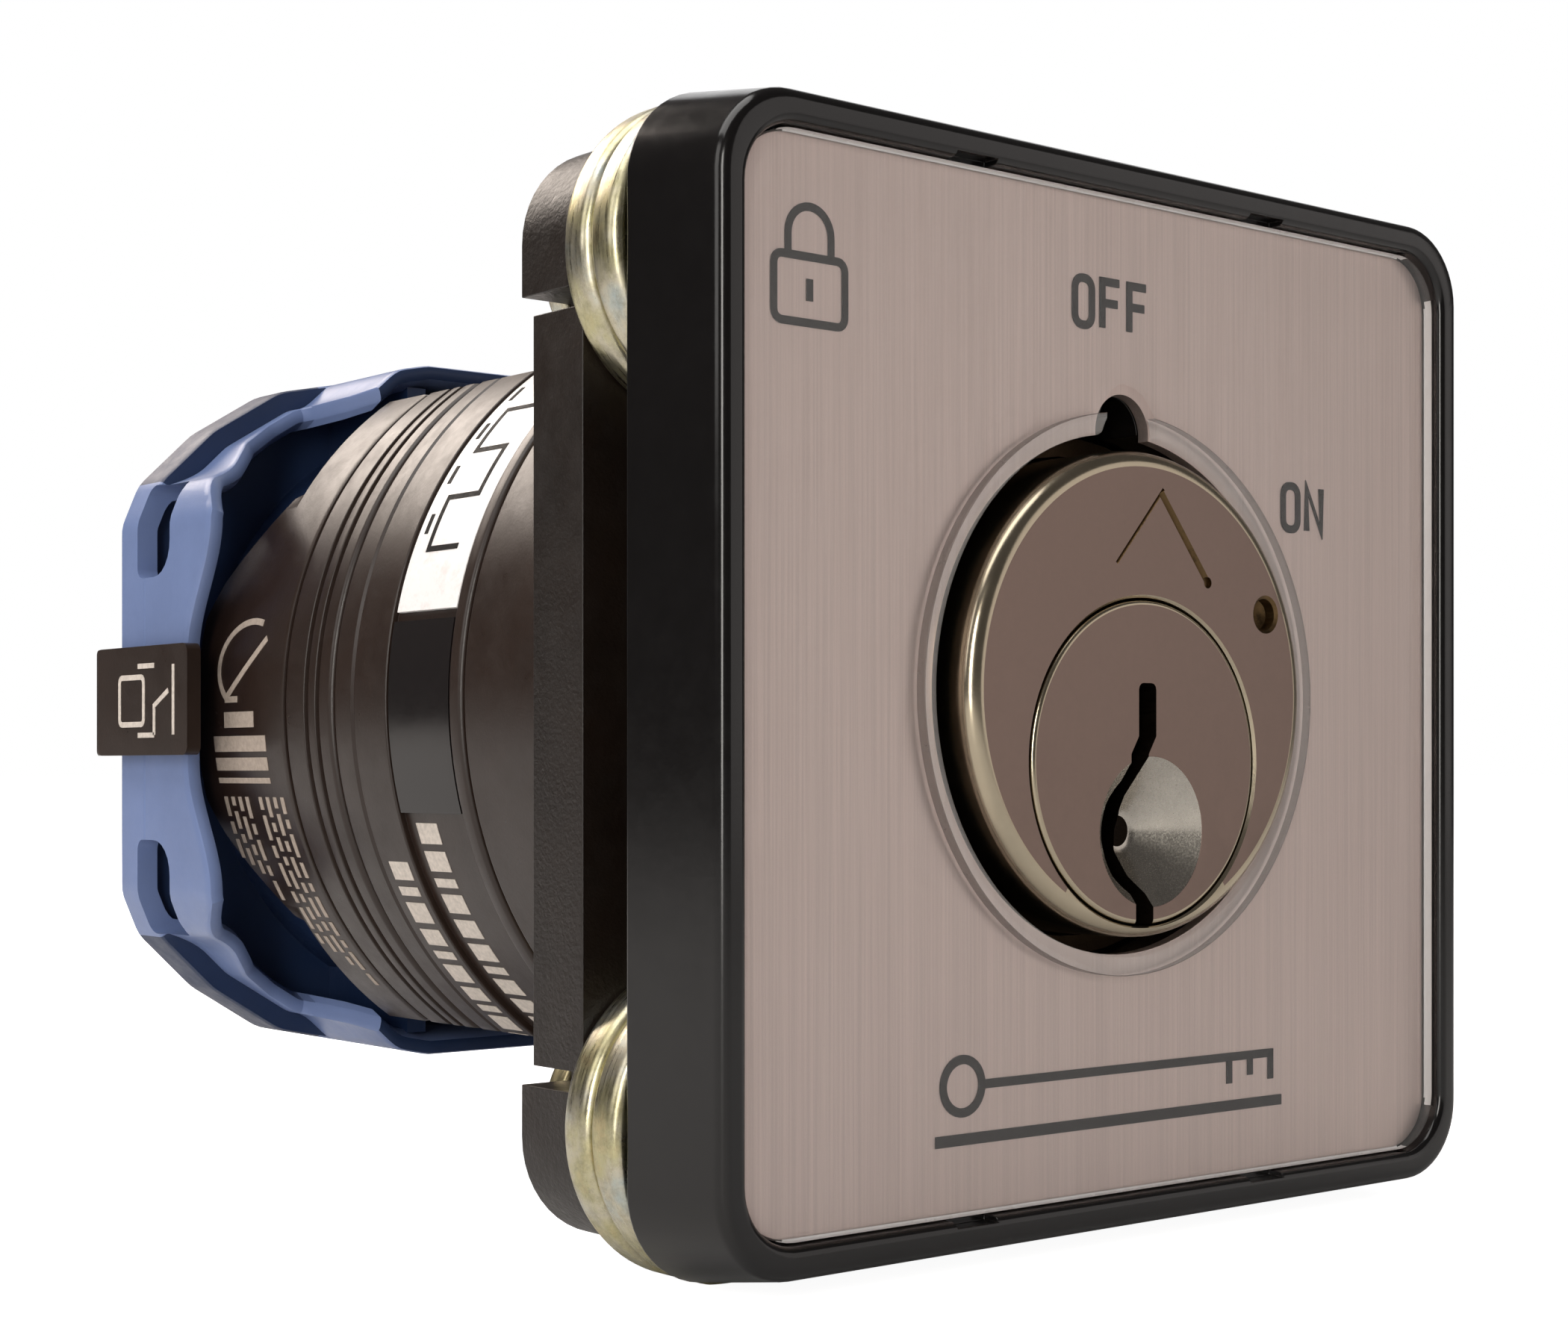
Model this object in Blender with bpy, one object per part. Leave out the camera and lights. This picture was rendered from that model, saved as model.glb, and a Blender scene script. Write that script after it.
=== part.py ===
"""Key-operated rotary isolator switch, built as separate pieces.

Frame: origin on the switch axis, in the plane of the bezel's rear face, where the panel's front
skin would be. +X is right as seen from the front, +Y goes back into the panel, +Z is up.
The shape functions take millimetres and scale them to metres when they make a mesh.
"""

import math

import bmesh
import bpy
from mathutils import Matrix, Vector

MM = 0.001

# ---- Driving dimensions, in millimetres ------------------------------------------------------

CLEARANCE = 0.05            # between pieces that are clamped together
SEGMENTS_BIG, SEGMENTS, SEGMENTS_SMALL = 48, 28, 12

BEZEL_HALF, BEZEL_RADIUS = 24.0, 3.75
BEZEL_REAR_HALF, BEZEL_REAR_RADIUS = 24.7, 4.2
BEZEL_FRONT_Y = -5.5
WINDOW_HALF, WINDOW_RADIUS = 22.5, 2.7
WINDOW_FRONT_Y, WINDOW_REAR_Y = -5.05, -4.55
LEGEND_FRONT_Y, LEGEND_REAR_Y = -4.45, -3.85
FLOOR_Y = -3.75             # floor of the recess behind the legend plate
OPENING_RADIUS = 11.8       # round opening for the lock, in window and legend plate
WINDOW_BEVEL_RADIUS = 12.75
NOTCH_RADIUS, NOTCH_Z = 1.75, 11.9

SCREW_OFFSET = 18.4         # corner screws, from the axis in X and Z
SCREW_RADIUS, SCREW_HOLE = 1.7, 2.2
WASHER_RADIUS = 6.8
SEAT_DEPTH = 0.1            # shallow seats under washers and bolt heads
PANEL_GAP = 3.9             # two washers fill the place of the panel
PLATE_HALF, PLATE_RADIUS = 24.0, 4.7
PLATE_REAR_Y, PAD_REAR_Y = 7.6, 8.5
EDGE_SLOT_Z = 16.6

BARREL_RADIUS = 11.0
BARREL_FRONT_Y, BARREL_REAR_Y = -6.0, 17.5
SLEEVE_BORE, SLEEVE_NOSE, SLEEVE_BODY = 11.12, 12.0, 13.2
SLEEVE_REAR_Y = 17.5
PLUG_Z = -3.07              # the plug's axis lies below the switch axis
PLUG_RADIUS, PLUG_BORE = 7.33, 7.43
PLUG_REAR_Y = 13.0
PIN_RADIUS, PIN_HOLE = 1.2, 1.35
PIN_STATIONS = (2.2, 6.2, 10.2)
CAM_FRONT_Y, CAM_REAR_Y = 13.1, 14.8

BOLT_LOW_Z, BOLT_HIGH_Z = -5.2, -0.94
BOLT_FRONT_Y, BOLT_REAR_Y = 15.15, 17.3
BOLT_TRAVEL = 1.9           # while the plug turns 90 degrees
BOLT_PIN_RADIUS, BOLT_PIN_START = 0.7, 3.9

HOUSING_RADIUS, HOUSING_BORE = 21.0, 19.2
HOUSING_FLAT, HOUSING_INNER_FLAT = 17.1, 15.6   # the body is flattened at the top and bottom
LOCK_HOUSING_Y = (PAD_REAR_Y - 0.75, 18.0)
LATCH_HOUSING_Y = (18.2, 30.2)
LABEL_Y, LABEL_DEPTH = (19.35, 24.85), 0.35
CONTACT_FRONT_Y = (30.4, 35.2)
CONTACT_REAR_Y, TONGUE_REAR_Y = (35.4, 39.8), 45.2
SHROUD_Y, SHROUD_WALL = (40.4, 51.5), 1.2
DRUM_RADIUS, DRUM_BORE = 18.1, 17.2             # curved wall round the terminals
COVER_Y = (51.6, 53.1)
TIE_Z, TIE_RADIUS, TIE_HOLE, TIE_HEAD_RADIUS = 15.0, 1.25, 1.5, 2.6
CLIP_RADIUS = 4.5           # round the shaft's rear end

SHAFT_HALF, SOCKET_HALF = 3.0, 3.1
SHAFT_HOLE = 4.6
SWITCH_ANGLE = 60.0         # from OFF to ON
STAR_Y = (24.4, 27.4)
CONTACT_CAM_Y = (32.4, 37.8)
CAM_HIGH, CONTACT_TRAVEL = 8.5, 2.1
CONTACT_Y = 35.3            # middle of the moving contacts

# One quadrant of the terminal shroud's outline, from the side flat up to the flat at the top.
SHROUD_QUADRANT = (
    (22.6, 10.4), (22.1, 11.6), (21.1, 12.8), (19.1, 14.6), (16.9, 16.4), (14.7, 17.8),
    (12.3, 18.8), (9.2, 19.6),
)
ARM_Z = (-2.6, 3.4)

COLOURS = {
    "bezel": ((0.012, 0.011, 0.011), 0.25, 0.0),
    "black": ((0.03, 0.026, 0.024), 0.45, 0.0),
    "plate": ((0.022, 0.017, 0.014), 0.6, 0.0),
    "aluminium": ((0.42, 0.34, 0.31), 0.35, 1.0),
    "clear": ((0.9, 0.9, 0.9), 0.05, 0.0),
    "nickel": ((0.36, 0.33, 0.31), 0.3, 1.0),
    "zinc": ((0.5, 0.52, 0.47), 0.35, 1.0),
    "steel": ((0.45, 0.45, 0.46), 0.35, 1.0),
    "brass": ((0.6, 0.42, 0.16), 0.3, 1.0),
    "copper": ((0.6, 0.3, 0.16), 0.35, 1.0),
    "label": ((0.75, 0.73, 0.72), 0.4, 0.0),
    "blue": ((0.13, 0.22, 0.48), 0.4, 0.0),
    "red_plastic": ((0.4, 0.05, 0.03), 0.5, 0.0),
    "white_plastic": ((0.7, 0.68, 0.62), 0.5, 0.0),
}


# ---- Scene and materials ---------------------------------------------------------------------

for old in list(bpy.data.objects):
    bpy.data.objects.remove(old, do_unlink=True)


def material_of(colour_name):
    material = bpy.data.materials.get(colour_name)
    if material:
        return material
    colour, roughness, metallic = COLOURS[colour_name]
    material = bpy.data.materials.new(colour_name)
    material.use_nodes = True
    shader = material.node_tree.nodes["Principled BSDF"]
    shader.inputs["Base Color"].default_value = (*colour, 1.0)
    shader.inputs["Roughness"].default_value = roughness
    shader.inputs["Metallic"].default_value = metallic
    return material


def make_object(name, bm, colour, pivot=(0, 0, 0)):
    """A mesh object from millimetre geometry, with its origin at the pivot."""
    bmesh.ops.recalc_face_normals(bm, faces=bm.faces)
    if bm.calc_volume(signed=True) < 0:
        bmesh.ops.reverse_faces(bm, faces=bm.faces)
    bmesh.ops.translate(bm, vec=-Vector(pivot), verts=bm.verts)
    bmesh.ops.scale(bm, vec=(MM, MM, MM), verts=bm.verts)
    mesh = bpy.data.meshes.new(name)
    bm.to_mesh(mesh)
    bm.free()
    mesh.shade_smooth()
    mesh.set_sharp_from_angle(angle=math.radians(30))
    obj = bpy.data.objects.new(name, mesh)
    bpy.context.scene.collection.objects.link(obj)
    obj.location = Vector(pivot) * MM
    if colour:
        mesh.materials.append(material_of(colour))
    else:
        obj.hide_render = True
        obj.display_type = "WIRE"
    return obj


def combine(obj, others, operation):
    """Adds one EXACT Boolean for each of the other objects, which become hidden helpers."""
    for other in others:
        other.hide_render = True
        other.display_type = "WIRE"
        modifier = obj.modifiers.new(operation.lower(), "BOOLEAN")
        modifier.operation = operation
        modifier.solver = "EXACT"
        modifier.object = other
    return obj


def cut(obj, *cutters):
    return combine(obj, cutters, "DIFFERENCE")


def join(obj, *additions):
    return combine(obj, additions, "UNION")


# ---- Shapes ----------------------------------------------------------------------------------


def arc(radius, start, end, steps, centre=(0.0, 0.0)):
    """Points (x, z) along an arc, angles in degrees counter-clockwise from +X seen from the front."""
    angles = [math.radians(start + (end - start) * k / steps) for k in range(steps + 1)]
    return [(centre[0] + radius * math.cos(a), centre[1] + radius * math.sin(a)) for a in angles]


def rounded_square(half, radius, steps=6):
    inner = half - radius
    points = []
    for sx, sz, start in ((1, 1, 0), (-1, 1, 90), (-1, -1, 180), (1, -1, 270)):
        points += arc(radius, start, start + 90, steps, (sx * inner, sz * inner))
    return points


def turned(y, angle):
    """The point matrix for a turn about the switch axis, clockwise from the front, in degrees."""
    return Matrix.Translation((0, y, 0)) @ Matrix.Rotation(math.radians(angle), 4, "Y")


def prism(name, outline, y0, y1, colour=None, far_outline=None, pivot=(0, 0, 0), turn=0.0):
    """An (x, z) outline run from y0 to y1, ending in far_outline where one is given."""
    bm = bmesh.new()
    rings = []
    for y, points in ((y0, outline), (y1, far_outline or outline)):
        rings.append([bm.verts.new((x, y, z)) for x, z in points])
    count = len(outline)
    bm.faces.new(rings[0])
    bm.faces.new(rings[1])
    for k in range(count):
        after = (k + 1) % count
        bm.faces.new((rings[0][k], rings[0][after], rings[1][after], rings[1][k]))
    if turn:
        bmesh.ops.transform(bm, matrix=turned(0, turn), verts=bm.verts)
    return make_object(name, bm, colour, pivot)


def box(name, xs, ys, zs, colour=None, pivot=(0, 0, 0), turn=0.0):
    outline = [(xs[0], zs[0]), (xs[1], zs[0]), (xs[1], zs[1]), (xs[0], zs[1])]
    return prism(name, outline, ys[0], ys[1], colour, pivot=pivot, turn=turn)


def lathe(name, profile, colour=None, centre=(0.0, 0.0), segments=SEGMENTS, pivot=(0, 0, 0)):
    """A closed (radius, y) profile turned about the line through centre along Y."""
    bm = bmesh.new()
    columns = []
    phase = 180 / segments if segments == SEGMENTS_BIG else 0  # no edge in line with a small hole
    for radius, y in profile:
        if radius == 0:
            columns.append([bm.verts.new((centre[0], y, centre[1]))] * segments)
            continue
        ring = arc(radius, phase, 360 + phase, segments, centre)[:-1]
        columns.append([bm.verts.new((x, y, z)) for x, z in ring])
    for first, second in zip(columns, columns[1:] + columns[:1]):
        for k in range(segments):
            after = (k + 1) % segments
            corners = [first[k], first[after], second[after], second[k]]
            unique = [v for n, v in enumerate(corners) if v not in corners[:n]]
            if len(unique) > 2:
                bm.faces.new(unique)
    return make_object(name, bm, colour, pivot)


def disc(name, radius, y0, y1, colour=None, centre=(0.0, 0.0), segments=SEGMENTS, pivot=(0, 0, 0)):
    return lathe(name, [(0, y0), (radius, y0), (radius, y1), (0, y1)], colour, centre, segments, pivot)


def tube(name, outer, inner, y0, y1, colour=None, centre=(0.0, 0.0), segments=SEGMENTS):
    profile = [(inner, y0), (outer, y0), (outer, y1), (inner, y1)]
    return lathe(name, profile, colour, centre, segments)


def rod(name, radius, start, end, colour=None, segments=SEGMENTS_SMALL, pivot=(0, 0, 0)):
    """A round bar between two points in any direction."""
    start, end = Vector(start), Vector(end)
    turn = (end - start).to_track_quat("Z", "Y").to_matrix().to_4x4()
    bm = bmesh.new()
    bmesh.ops.create_cone(
        bm, cap_ends=True, segments=segments, radius1=radius, radius2=radius,
        depth=(end - start).length, matrix=Matrix.Translation((start + end) / 2) @ turn,
    )
    return make_object(name, bm, colour, pivot)


def coil(name, start, end, radius, wire, turns, colour="steel", sides=4, per_turn=8):
    """A helical spring between two points, as one closed tube."""
    start, end = Vector(start), Vector(end)
    frame = (end - start).to_track_quat("Z", "Y").to_matrix()
    across, up, along = frame.col[0], frame.col[1], frame.col[2]
    length = (end - start).length - 2 * wire
    steps = turns * per_turn
    bm = bmesh.new()
    rings = []
    for k in range(steps + 1):
        angle = 2 * math.pi * k / per_turn
        out = across * math.cos(angle) + up * math.sin(angle)
        middle = start + along * (wire + length * k / steps) + out * radius
        ring = []
        for s in range(sides):
            a = 2 * math.pi * s / sides
            ring.append(bm.verts.new(middle + (out * math.cos(a) + along * math.sin(a)) * wire))
        rings.append(ring)
    for first, second in zip(rings, rings[1:]):
        for s in range(sides):
            after = (s + 1) % sides
            bm.faces.new((first[s], first[after], second[after], second[s]))
    bm.faces.new(rings[0])
    bm.faces.new(rings[-1])
    return make_object(name, bm, colour)


def corners(offset=SCREW_OFFSET):
    """The four corner positions, clockwise from the top left."""
    return ((-offset, offset), (offset, offset), (offset, -offset), (-offset, -offset))


def offset_outline(points, distance):
    """The outline moved inwards by a distance; the points run counter-clockwise."""
    moved = []
    count = len(points)
    for k in range(count):
        before, here, after = (Vector(points[(k + n) % count]) for n in (-1, 0, 1))
        first, second = (here - before).normalized(), (after - here).normalized()
        normals = Vector((-first.y, first.x)), Vector((-second.y, second.x))
        middle = (normals[0] + normals[1]).normalized()
        moved.append(tuple(here + middle * distance / middle.dot(normals[0])))
    return moved


def mirrored_quadrant(quadrant):
    """A full outline from one quadrant's points, counter-clockwise."""
    right_top = list(quadrant)
    left_top = [(-x, z) for x, z in reversed(quadrant)]
    left_low = [(-x, -z) for x, z in quadrant]
    right_low = [(x, -z) for x, z in reversed(quadrant)]
    return right_top + left_top + left_low + right_low


# ---- Front: bezel, window, legend plate ------------------------------------------------------


def notch_cutter(name, y0, y1, radius=NOTCH_RADIUS):
    return disc(name, radius, y0, y1, centre=(0, NOTCH_Z), segments=20)


def washer_seats(name, y0, y1):
    """Cutters for the shallow seats of the four corner washers."""
    radius = WASHER_RADIUS + 0.2
    return [disc(f"{name}_{k}", radius, y0, y1, centre=c) for k, c in enumerate(corners())]


def make_bezel():
    bezel = prism(
        "bezel", rounded_square(BEZEL_HALF, BEZEL_RADIUS), BEZEL_FRONT_Y, 0, "bezel",
        far_outline=rounded_square(BEZEL_REAR_HALF, BEZEL_REAR_RADIUS),
    )
    recess = rounded_square(WINDOW_HALF + 0.1, WINDOW_RADIUS)
    cutters = [
        prism("bezel_recess_cut", recess, BEZEL_FRONT_Y - 1, FLOOR_Y),
        disc("bezel_hole_cut", SLEEVE_NOSE + 0.15, FLOOR_Y - 1, 1),
        notch_cutter("bezel_notch_cut", FLOOR_Y - 1, 1),
    ]
    reach, near, far, depth = 10.6, 15.6, 22.7, 1.6
    for k, angle in enumerate((0, 90, 180, 270)):
        cutters.append(
            box(f"bezel_pocket_cut_{k}", (-reach, reach), (-depth, 1), (near, far), turn=angle)
        )
    for k, centre in enumerate(corners()):
        cutters.append(
            disc(f"bezel_screw_cut_{k}", SCREW_RADIUS + 0.15, -2.9, 1, centre=centre,
                 segments=SEGMENTS_SMALL)
        )
    return cut(bezel, *cutters, *washer_seats("bezel_seat_cut", -SEAT_DEPTH, 1))


def make_window():
    window = prism(
        "clear_window", rounded_square(WINDOW_HALF, WINDOW_RADIUS), WINDOW_FRONT_Y, WINDOW_REAR_Y,
        "clear",
    )
    bevel_depth = 0.25
    profile = [
        (0, WINDOW_FRONT_Y - 1), (WINDOW_BEVEL_RADIUS, WINDOW_FRONT_Y - 1),
        (WINDOW_BEVEL_RADIUS, WINDOW_FRONT_Y), (OPENING_RADIUS, WINDOW_FRONT_Y + bevel_depth),
        (OPENING_RADIUS, WINDOW_REAR_Y + 1), (0, WINDOW_REAR_Y + 1),
    ]
    opening = lathe("window_opening_cut", profile, segments=SEGMENTS_BIG)
    notch = notch_cutter("window_notch_cut", WINDOW_FRONT_Y - 1, WINDOW_REAR_Y + 1)
    return cut(window, opening, notch)


def make_legend():
    legend = prism(
        "legend_plate", rounded_square(WINDOW_HALF, WINDOW_RADIUS), LEGEND_FRONT_Y, LEGEND_REAR_Y,
        "aluminium",
    )
    opening = disc(
        "legend_opening_cut", OPENING_RADIUS, LEGEND_FRONT_Y - 1, LEGEND_REAR_Y + 1,
        segments=SEGMENTS_BIG,
    )
    notch = notch_cutter("legend_notch_cut", LEGEND_FRONT_Y - 1, LEGEND_REAR_Y + 1)
    return cut(legend, opening, notch)


# ---- Panel fastening: washers, screws, mounting plate ----------------------------------------


def make_washers():
    middle = PANEL_GAP / 2
    spans = {"front": (CLEARANCE, middle - 0.03), "rear": (middle + 0.03, PANEL_GAP - CLEARANCE)}
    for side, (y0, y1) in spans.items():
        for k, centre in enumerate(corners()):
            name = f"washer_{side}_{k + 1}"
            tube(name, WASHER_RADIUS, SCREW_HOLE, y0, y1, "zinc", centre, 24)


def make_panel_screws():
    head_radius, head_height, tip = 3.5, 2.3, -2.6
    under = PAD_REAR_Y + CLEARANCE
    for k, centre in enumerate(corners()):
        profile = [
            (0, tip), (SCREW_RADIUS - 0.4, tip), (SCREW_RADIUS, tip + 0.4), (SCREW_RADIUS, under),
            (head_radius, under), (head_radius, under + head_height - 0.7),
            (head_radius - 0.8, under + head_height), (0, under + head_height),
        ]
        screw = lathe(f"panel_screw_{k + 1}", profile, "zinc", centre, 14)
        x, z = centre
        top = under + head_height
        across = box(
            f"screw_slot_cut_{k}", (x - 2.2, x + 2.2), (top - 1.1, top + 1), (z - 0.4, z + 0.4)
        )
        down = box(
            f"screw_cross_cut_{k}", (x - 0.4, x + 0.4), (top - 1.1, top + 1), (z - 2.2, z + 2.2)
        )
        cut(screw, across, down)


def make_mounting_plate():
    plate = prism(
        "mounting_plate", rounded_square(PLATE_HALF, PLATE_RADIUS), PANEL_GAP, PAD_REAR_Y, "plate"
    )
    beyond = PLATE_HALF + 2
    pad_from = 13.2
    cutters = [
        box("plate_step_x_cut", (-beyond, beyond), (PLATE_REAR_Y, 10), (-EDGE_SLOT_Z, EDGE_SLOT_Z)),
        box("plate_step_z_cut", (-pad_from, pad_from), (PLATE_REAR_Y, 10), (-beyond, beyond)),
        disc("plate_hole_cut", SLEEVE_NOSE + 0.15, 0, 12),
    ]
    slot_half, slot_depth = 0.45, 2.6
    for sx in (-1, 1):
        for sz in (-1, 1):
            xs = sorted((sx * (PLATE_HALF - slot_depth), sx * beyond))
            z = sz * EDGE_SLOT_Z
            cutters.append(
                box(f"plate_slot_cut_{sx}_{sz}", xs, (0, 12), (z - slot_half, z + slot_half))
            )
        cutters.append(
            disc(f"plate_tie_cut_{sx}", TIE_RADIUS + 0.15, 4.6, 12, centre=(0, sx * TIE_Z),
                 segments=SEGMENTS_SMALL)
        )
    for k, centre in enumerate(corners()):
        cutters.append(
            disc(f"plate_screw_cut_{k}", SCREW_HOLE, 0, 12, centre=centre, segments=20)
        )
    return cut(plate, *cutters, *washer_seats("plate_seat_cut", 0, PANEL_GAP + SEAT_DEPTH))


# ---- Lock: sleeve, barrel, plug, pins, cam and bolt ------------------------------------------


def bolt_outline(inner_x):
    """The bolt in the XZ plane, with its tip lying just inside the barrel's round surface."""
    radius = BARREL_RADIUS - 0.1
    low, high = (math.degrees(math.asin(z / radius)) for z in (BOLT_LOW_Z, BOLT_HIGH_Z))
    return [(inner_x, BOLT_HIGH_Z), (inner_x, BOLT_LOW_Z), *arc(radius, low, high, 6)]


def make_sleeve():
    shoulder = LOCK_HOUSING_Y[0] + 2.25
    profile = [
        (SLEEVE_BORE, -1.2), (SLEEVE_NOSE, -1.2), (SLEEVE_NOSE, shoulder), (SLEEVE_BODY, shoulder),
        (SLEEVE_BODY, SLEEVE_REAR_Y), (SLEEVE_BORE, SLEEVE_REAR_Y),
    ]
    sleeve = lathe("lock_sleeve", profile, "brass", segments=SEGMENTS_BIG)
    key = box("sleeve_key_add", (-14.6, -12.4), (12.0, 15.0), (-1.2, 1.2))
    ys, zs = (BOLT_FRONT_Y - 0.25, BOLT_REAR_Y + 0.15), (BOLT_LOW_Z - 0.2, BOLT_HIGH_Z + 0.2)
    pockets = [
        box("sleeve_pocket_off_cut", (8, 15), ys, zs),
        box("sleeve_pocket_on_cut", (8, 15), ys, zs, turn=SWITCH_ANGLE),
    ]
    return cut(join(sleeve, key), *pockets)


def engraved_line(name, start, end, width=0.34, depth=0.25):
    """A thin cutter along a line in the barrel's face."""
    a, b = Vector(start), Vector(end)
    along = (b - a).normalized()
    across = Vector((-along.y, along.x)) * width / 2
    outline = [tuple(a + across), tuple(a - across), tuple(b - across), tuple(b + across)]
    return prism(name, outline, BARREL_FRONT_Y - 1, BARREL_FRONT_Y + depth)


def make_barrel():
    edge = 0.45
    profile = [
        (0, BARREL_FRONT_Y), (BARREL_RADIUS - edge, BARREL_FRONT_Y),
        (BARREL_RADIUS, BARREL_FRONT_Y + edge), (BARREL_RADIUS, BARREL_REAR_Y), (0, BARREL_REAR_Y),
    ]
    barrel = lathe("lock_barrel", profile, "nickel", segments=SEGMENTS_BIG)
    bore_end = BOLT_FRONT_Y - 0.15
    apex, left_foot, right_foot = (1.1, 9.3), (-2.0, 5.8), (4.1, 5.2)
    cutters = [
        disc("barrel_bore_cut", PLUG_BORE, BARREL_FRONT_Y - 1, bore_end, centre=(0, PLUG_Z),
             segments=SEGMENTS_BIG),
        box("barrel_bolt_cut", (-6.5, 12), (bore_end - 0.1, BARREL_REAR_Y + 1),
            (BOLT_LOW_Z - 0.12, BOLT_HIGH_Z + 0.12)),
        box("barrel_cover_cut", (-1.8, 1.8), (0.0, 12.6), (9.9, 12)),
        engraved_line("arrow_left_cut", apex, left_foot),
        engraved_line("arrow_right_cut", apex, right_foot),
        disc("barrel_dimple_cut", 0.85, BARREL_FRONT_Y - 1, BARREL_FRONT_Y + 0.6,
             centre=(8.2, 3.9), segments=SEGMENTS_SMALL),
    ]
    for sx in (-1, 1):
        xs = sorted((sx * 4.2, sx * 8.2))
        cutters.append(
            box(f"barrel_dog_cut_{sx}", xs, (BARREL_REAR_Y - 1.8, BARREL_REAR_Y + 1), (4.5, 7.5))
        )
    for k, y in enumerate(PIN_STATIONS):
        cutters.append(rod(f"barrel_pin_cut_{k}", PIN_HOLE, (0, y, 3), (0, y, 12)))
    return cut(barrel, *cutters)


def keyway_outline():
    """A zigzag slot from above the plug's axis to below its lower edge."""
    width = 1.15
    right = [(0.6, 0.5), (0.6, -1.9), (0.1, -2.7), (0.1, -4.6), (0.5, -5.4), (-0.1, -7.2),
             (-0.1, -8.2), (0.4, -9.0), (0.4, -11.5)]
    return right + [(x - width, z) for x, z in reversed(right)]


def make_plug():
    pivot = (0, 0, PLUG_Z)
    boss_radius = 2.2
    profile = [
        (0, BARREL_FRONT_Y), (PLUG_RADIUS - 0.15, BARREL_FRONT_Y),
        (PLUG_RADIUS, BARREL_FRONT_Y + 0.15), (PLUG_RADIUS, PLUG_REAR_Y),
        (boss_radius, PLUG_REAR_Y), (boss_radius, CAM_REAR_Y - 0.2), (0, CAM_REAR_Y - 0.2),
    ]
    plug = lathe("key_plug", profile, "nickel", (0, PLUG_Z), SEGMENTS_BIG, pivot)
    scoop_radius, scoop_depth = 3.45, 3.1
    scoop = [
        (0, BARREL_FRONT_Y - 1), (scoop_radius, BARREL_FRONT_Y - 1),
        (scoop_radius, BARREL_FRONT_Y), (0, BARREL_FRONT_Y + scoop_depth),
    ]
    cutters = [
        prism("plug_keyway_cut", keyway_outline(), BARREL_FRONT_Y - 1, PLUG_REAR_Y - 1.2),
        lathe("plug_scoop_cut", scoop, centre=(0.3, -6.2)),
    ]
    for k, y in enumerate(PIN_STATIONS):
        cutters.append(rod(f"plug_pin_cut_{k}", PIN_HOLE, (0, y, 0.1), (0, y, 8)))
    return cut(plug, *cutters)


def make_pins():
    pivot = (0, 0, PLUG_Z)
    for k, y in enumerate(PIN_STATIONS):
        rod(f"key_pin_{k + 1}", PIN_RADIUS, (0, y, 0.65), (0, y, 4.05), "brass", pivot=pivot)
        rod(f"driver_pin_{k + 1}", PIN_RADIUS, (0, y, 4.5), (0, y, 7.3), "brass")
        coil(f"pin_spring_{k + 1}", (0, y, 7.4), (0, y, 9.85), 0.85, 0.16, 3)
    box("pin_cover", (-1.7, 1.7), (0.1, 12.5), (10.0, 10.75), "brass")


def spiral_points(offset, steps=12):
    """The bolt pin's path in the plug cam, moved sideways by offset, about the plug's axis."""
    points = []
    for k in range(steps + 1):
        share = k / steps
        angle = math.radians(90 * share)
        radius = BOLT_PIN_START + BOLT_TRAVEL * share + offset
        points.append((radius * math.cos(angle), PLUG_Z + radius * math.sin(angle)))
    return points


def make_plug_cam():
    half = BOLT_PIN_RADIUS + 0.15
    cam = tube("plug_cam", PLUG_RADIUS - 0.13, 2.3, CAM_FRONT_Y, CAM_REAR_Y, "steel", (0, PLUG_Z))
    first, last = spiral_points(0)[0], spiral_points(0)[-1]
    outline = (
        spiral_points(half) + arc(half, 90, 270, 6, last)[1:-1]
        + list(reversed(spiral_points(-half))) + arc(half, 180, 360, 6, first)[1:-1]
    )
    return cut(cam, prism("cam_slot_cut", outline, CAM_FRONT_Y - 1, CAM_REAR_Y + 1))


def make_bolt():
    bolt = prism("lock_bolt", bolt_outline(-2.0), BOLT_FRONT_Y, BOLT_REAR_Y, "steel")
    pin = disc(
        "bolt_pin_add", BOLT_PIN_RADIUS, CAM_FRONT_Y + 0.3, BOLT_FRONT_Y + 0.5,
        centre=(BOLT_PIN_START, PLUG_Z), segments=SEGMENTS_SMALL,
    )
    return join(bolt, pin)


def flattened_circle(radius, flat_z, steps=14):
    """A circle whose top and bottom are cut flat."""
    limit = math.degrees(math.asin(flat_z / radius))
    return arc(radius, -limit, limit, steps) + arc(radius, 180 - limit, 180 + limit, steps)


def flat_cutters(name, flat_z=HOUSING_FLAT, ys=(0, 60)):
    """Cutters for the flats at the top and bottom of the body."""
    return [box(f"{name}_flat_cut_{s}", (-24, 24), ys, sorted((s * flat_z, s * 24))) for s in (-1, 1)]


def tie_cutters(name, y0, y1):
    """Cutters for the two holes of the tie bolts."""
    return [
        disc(f"{name}_tie_cut_{s}", TIE_HOLE, y0, y1, centre=(0, s * TIE_Z), segments=SEGMENTS_SMALL)
        for s in (-1, 1)
    ]


def hollow_cutter(name, y0, y1):
    return prism(name, flattened_circle(HOUSING_BORE, HOUSING_INNER_FLAT), y0, y1)


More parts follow.
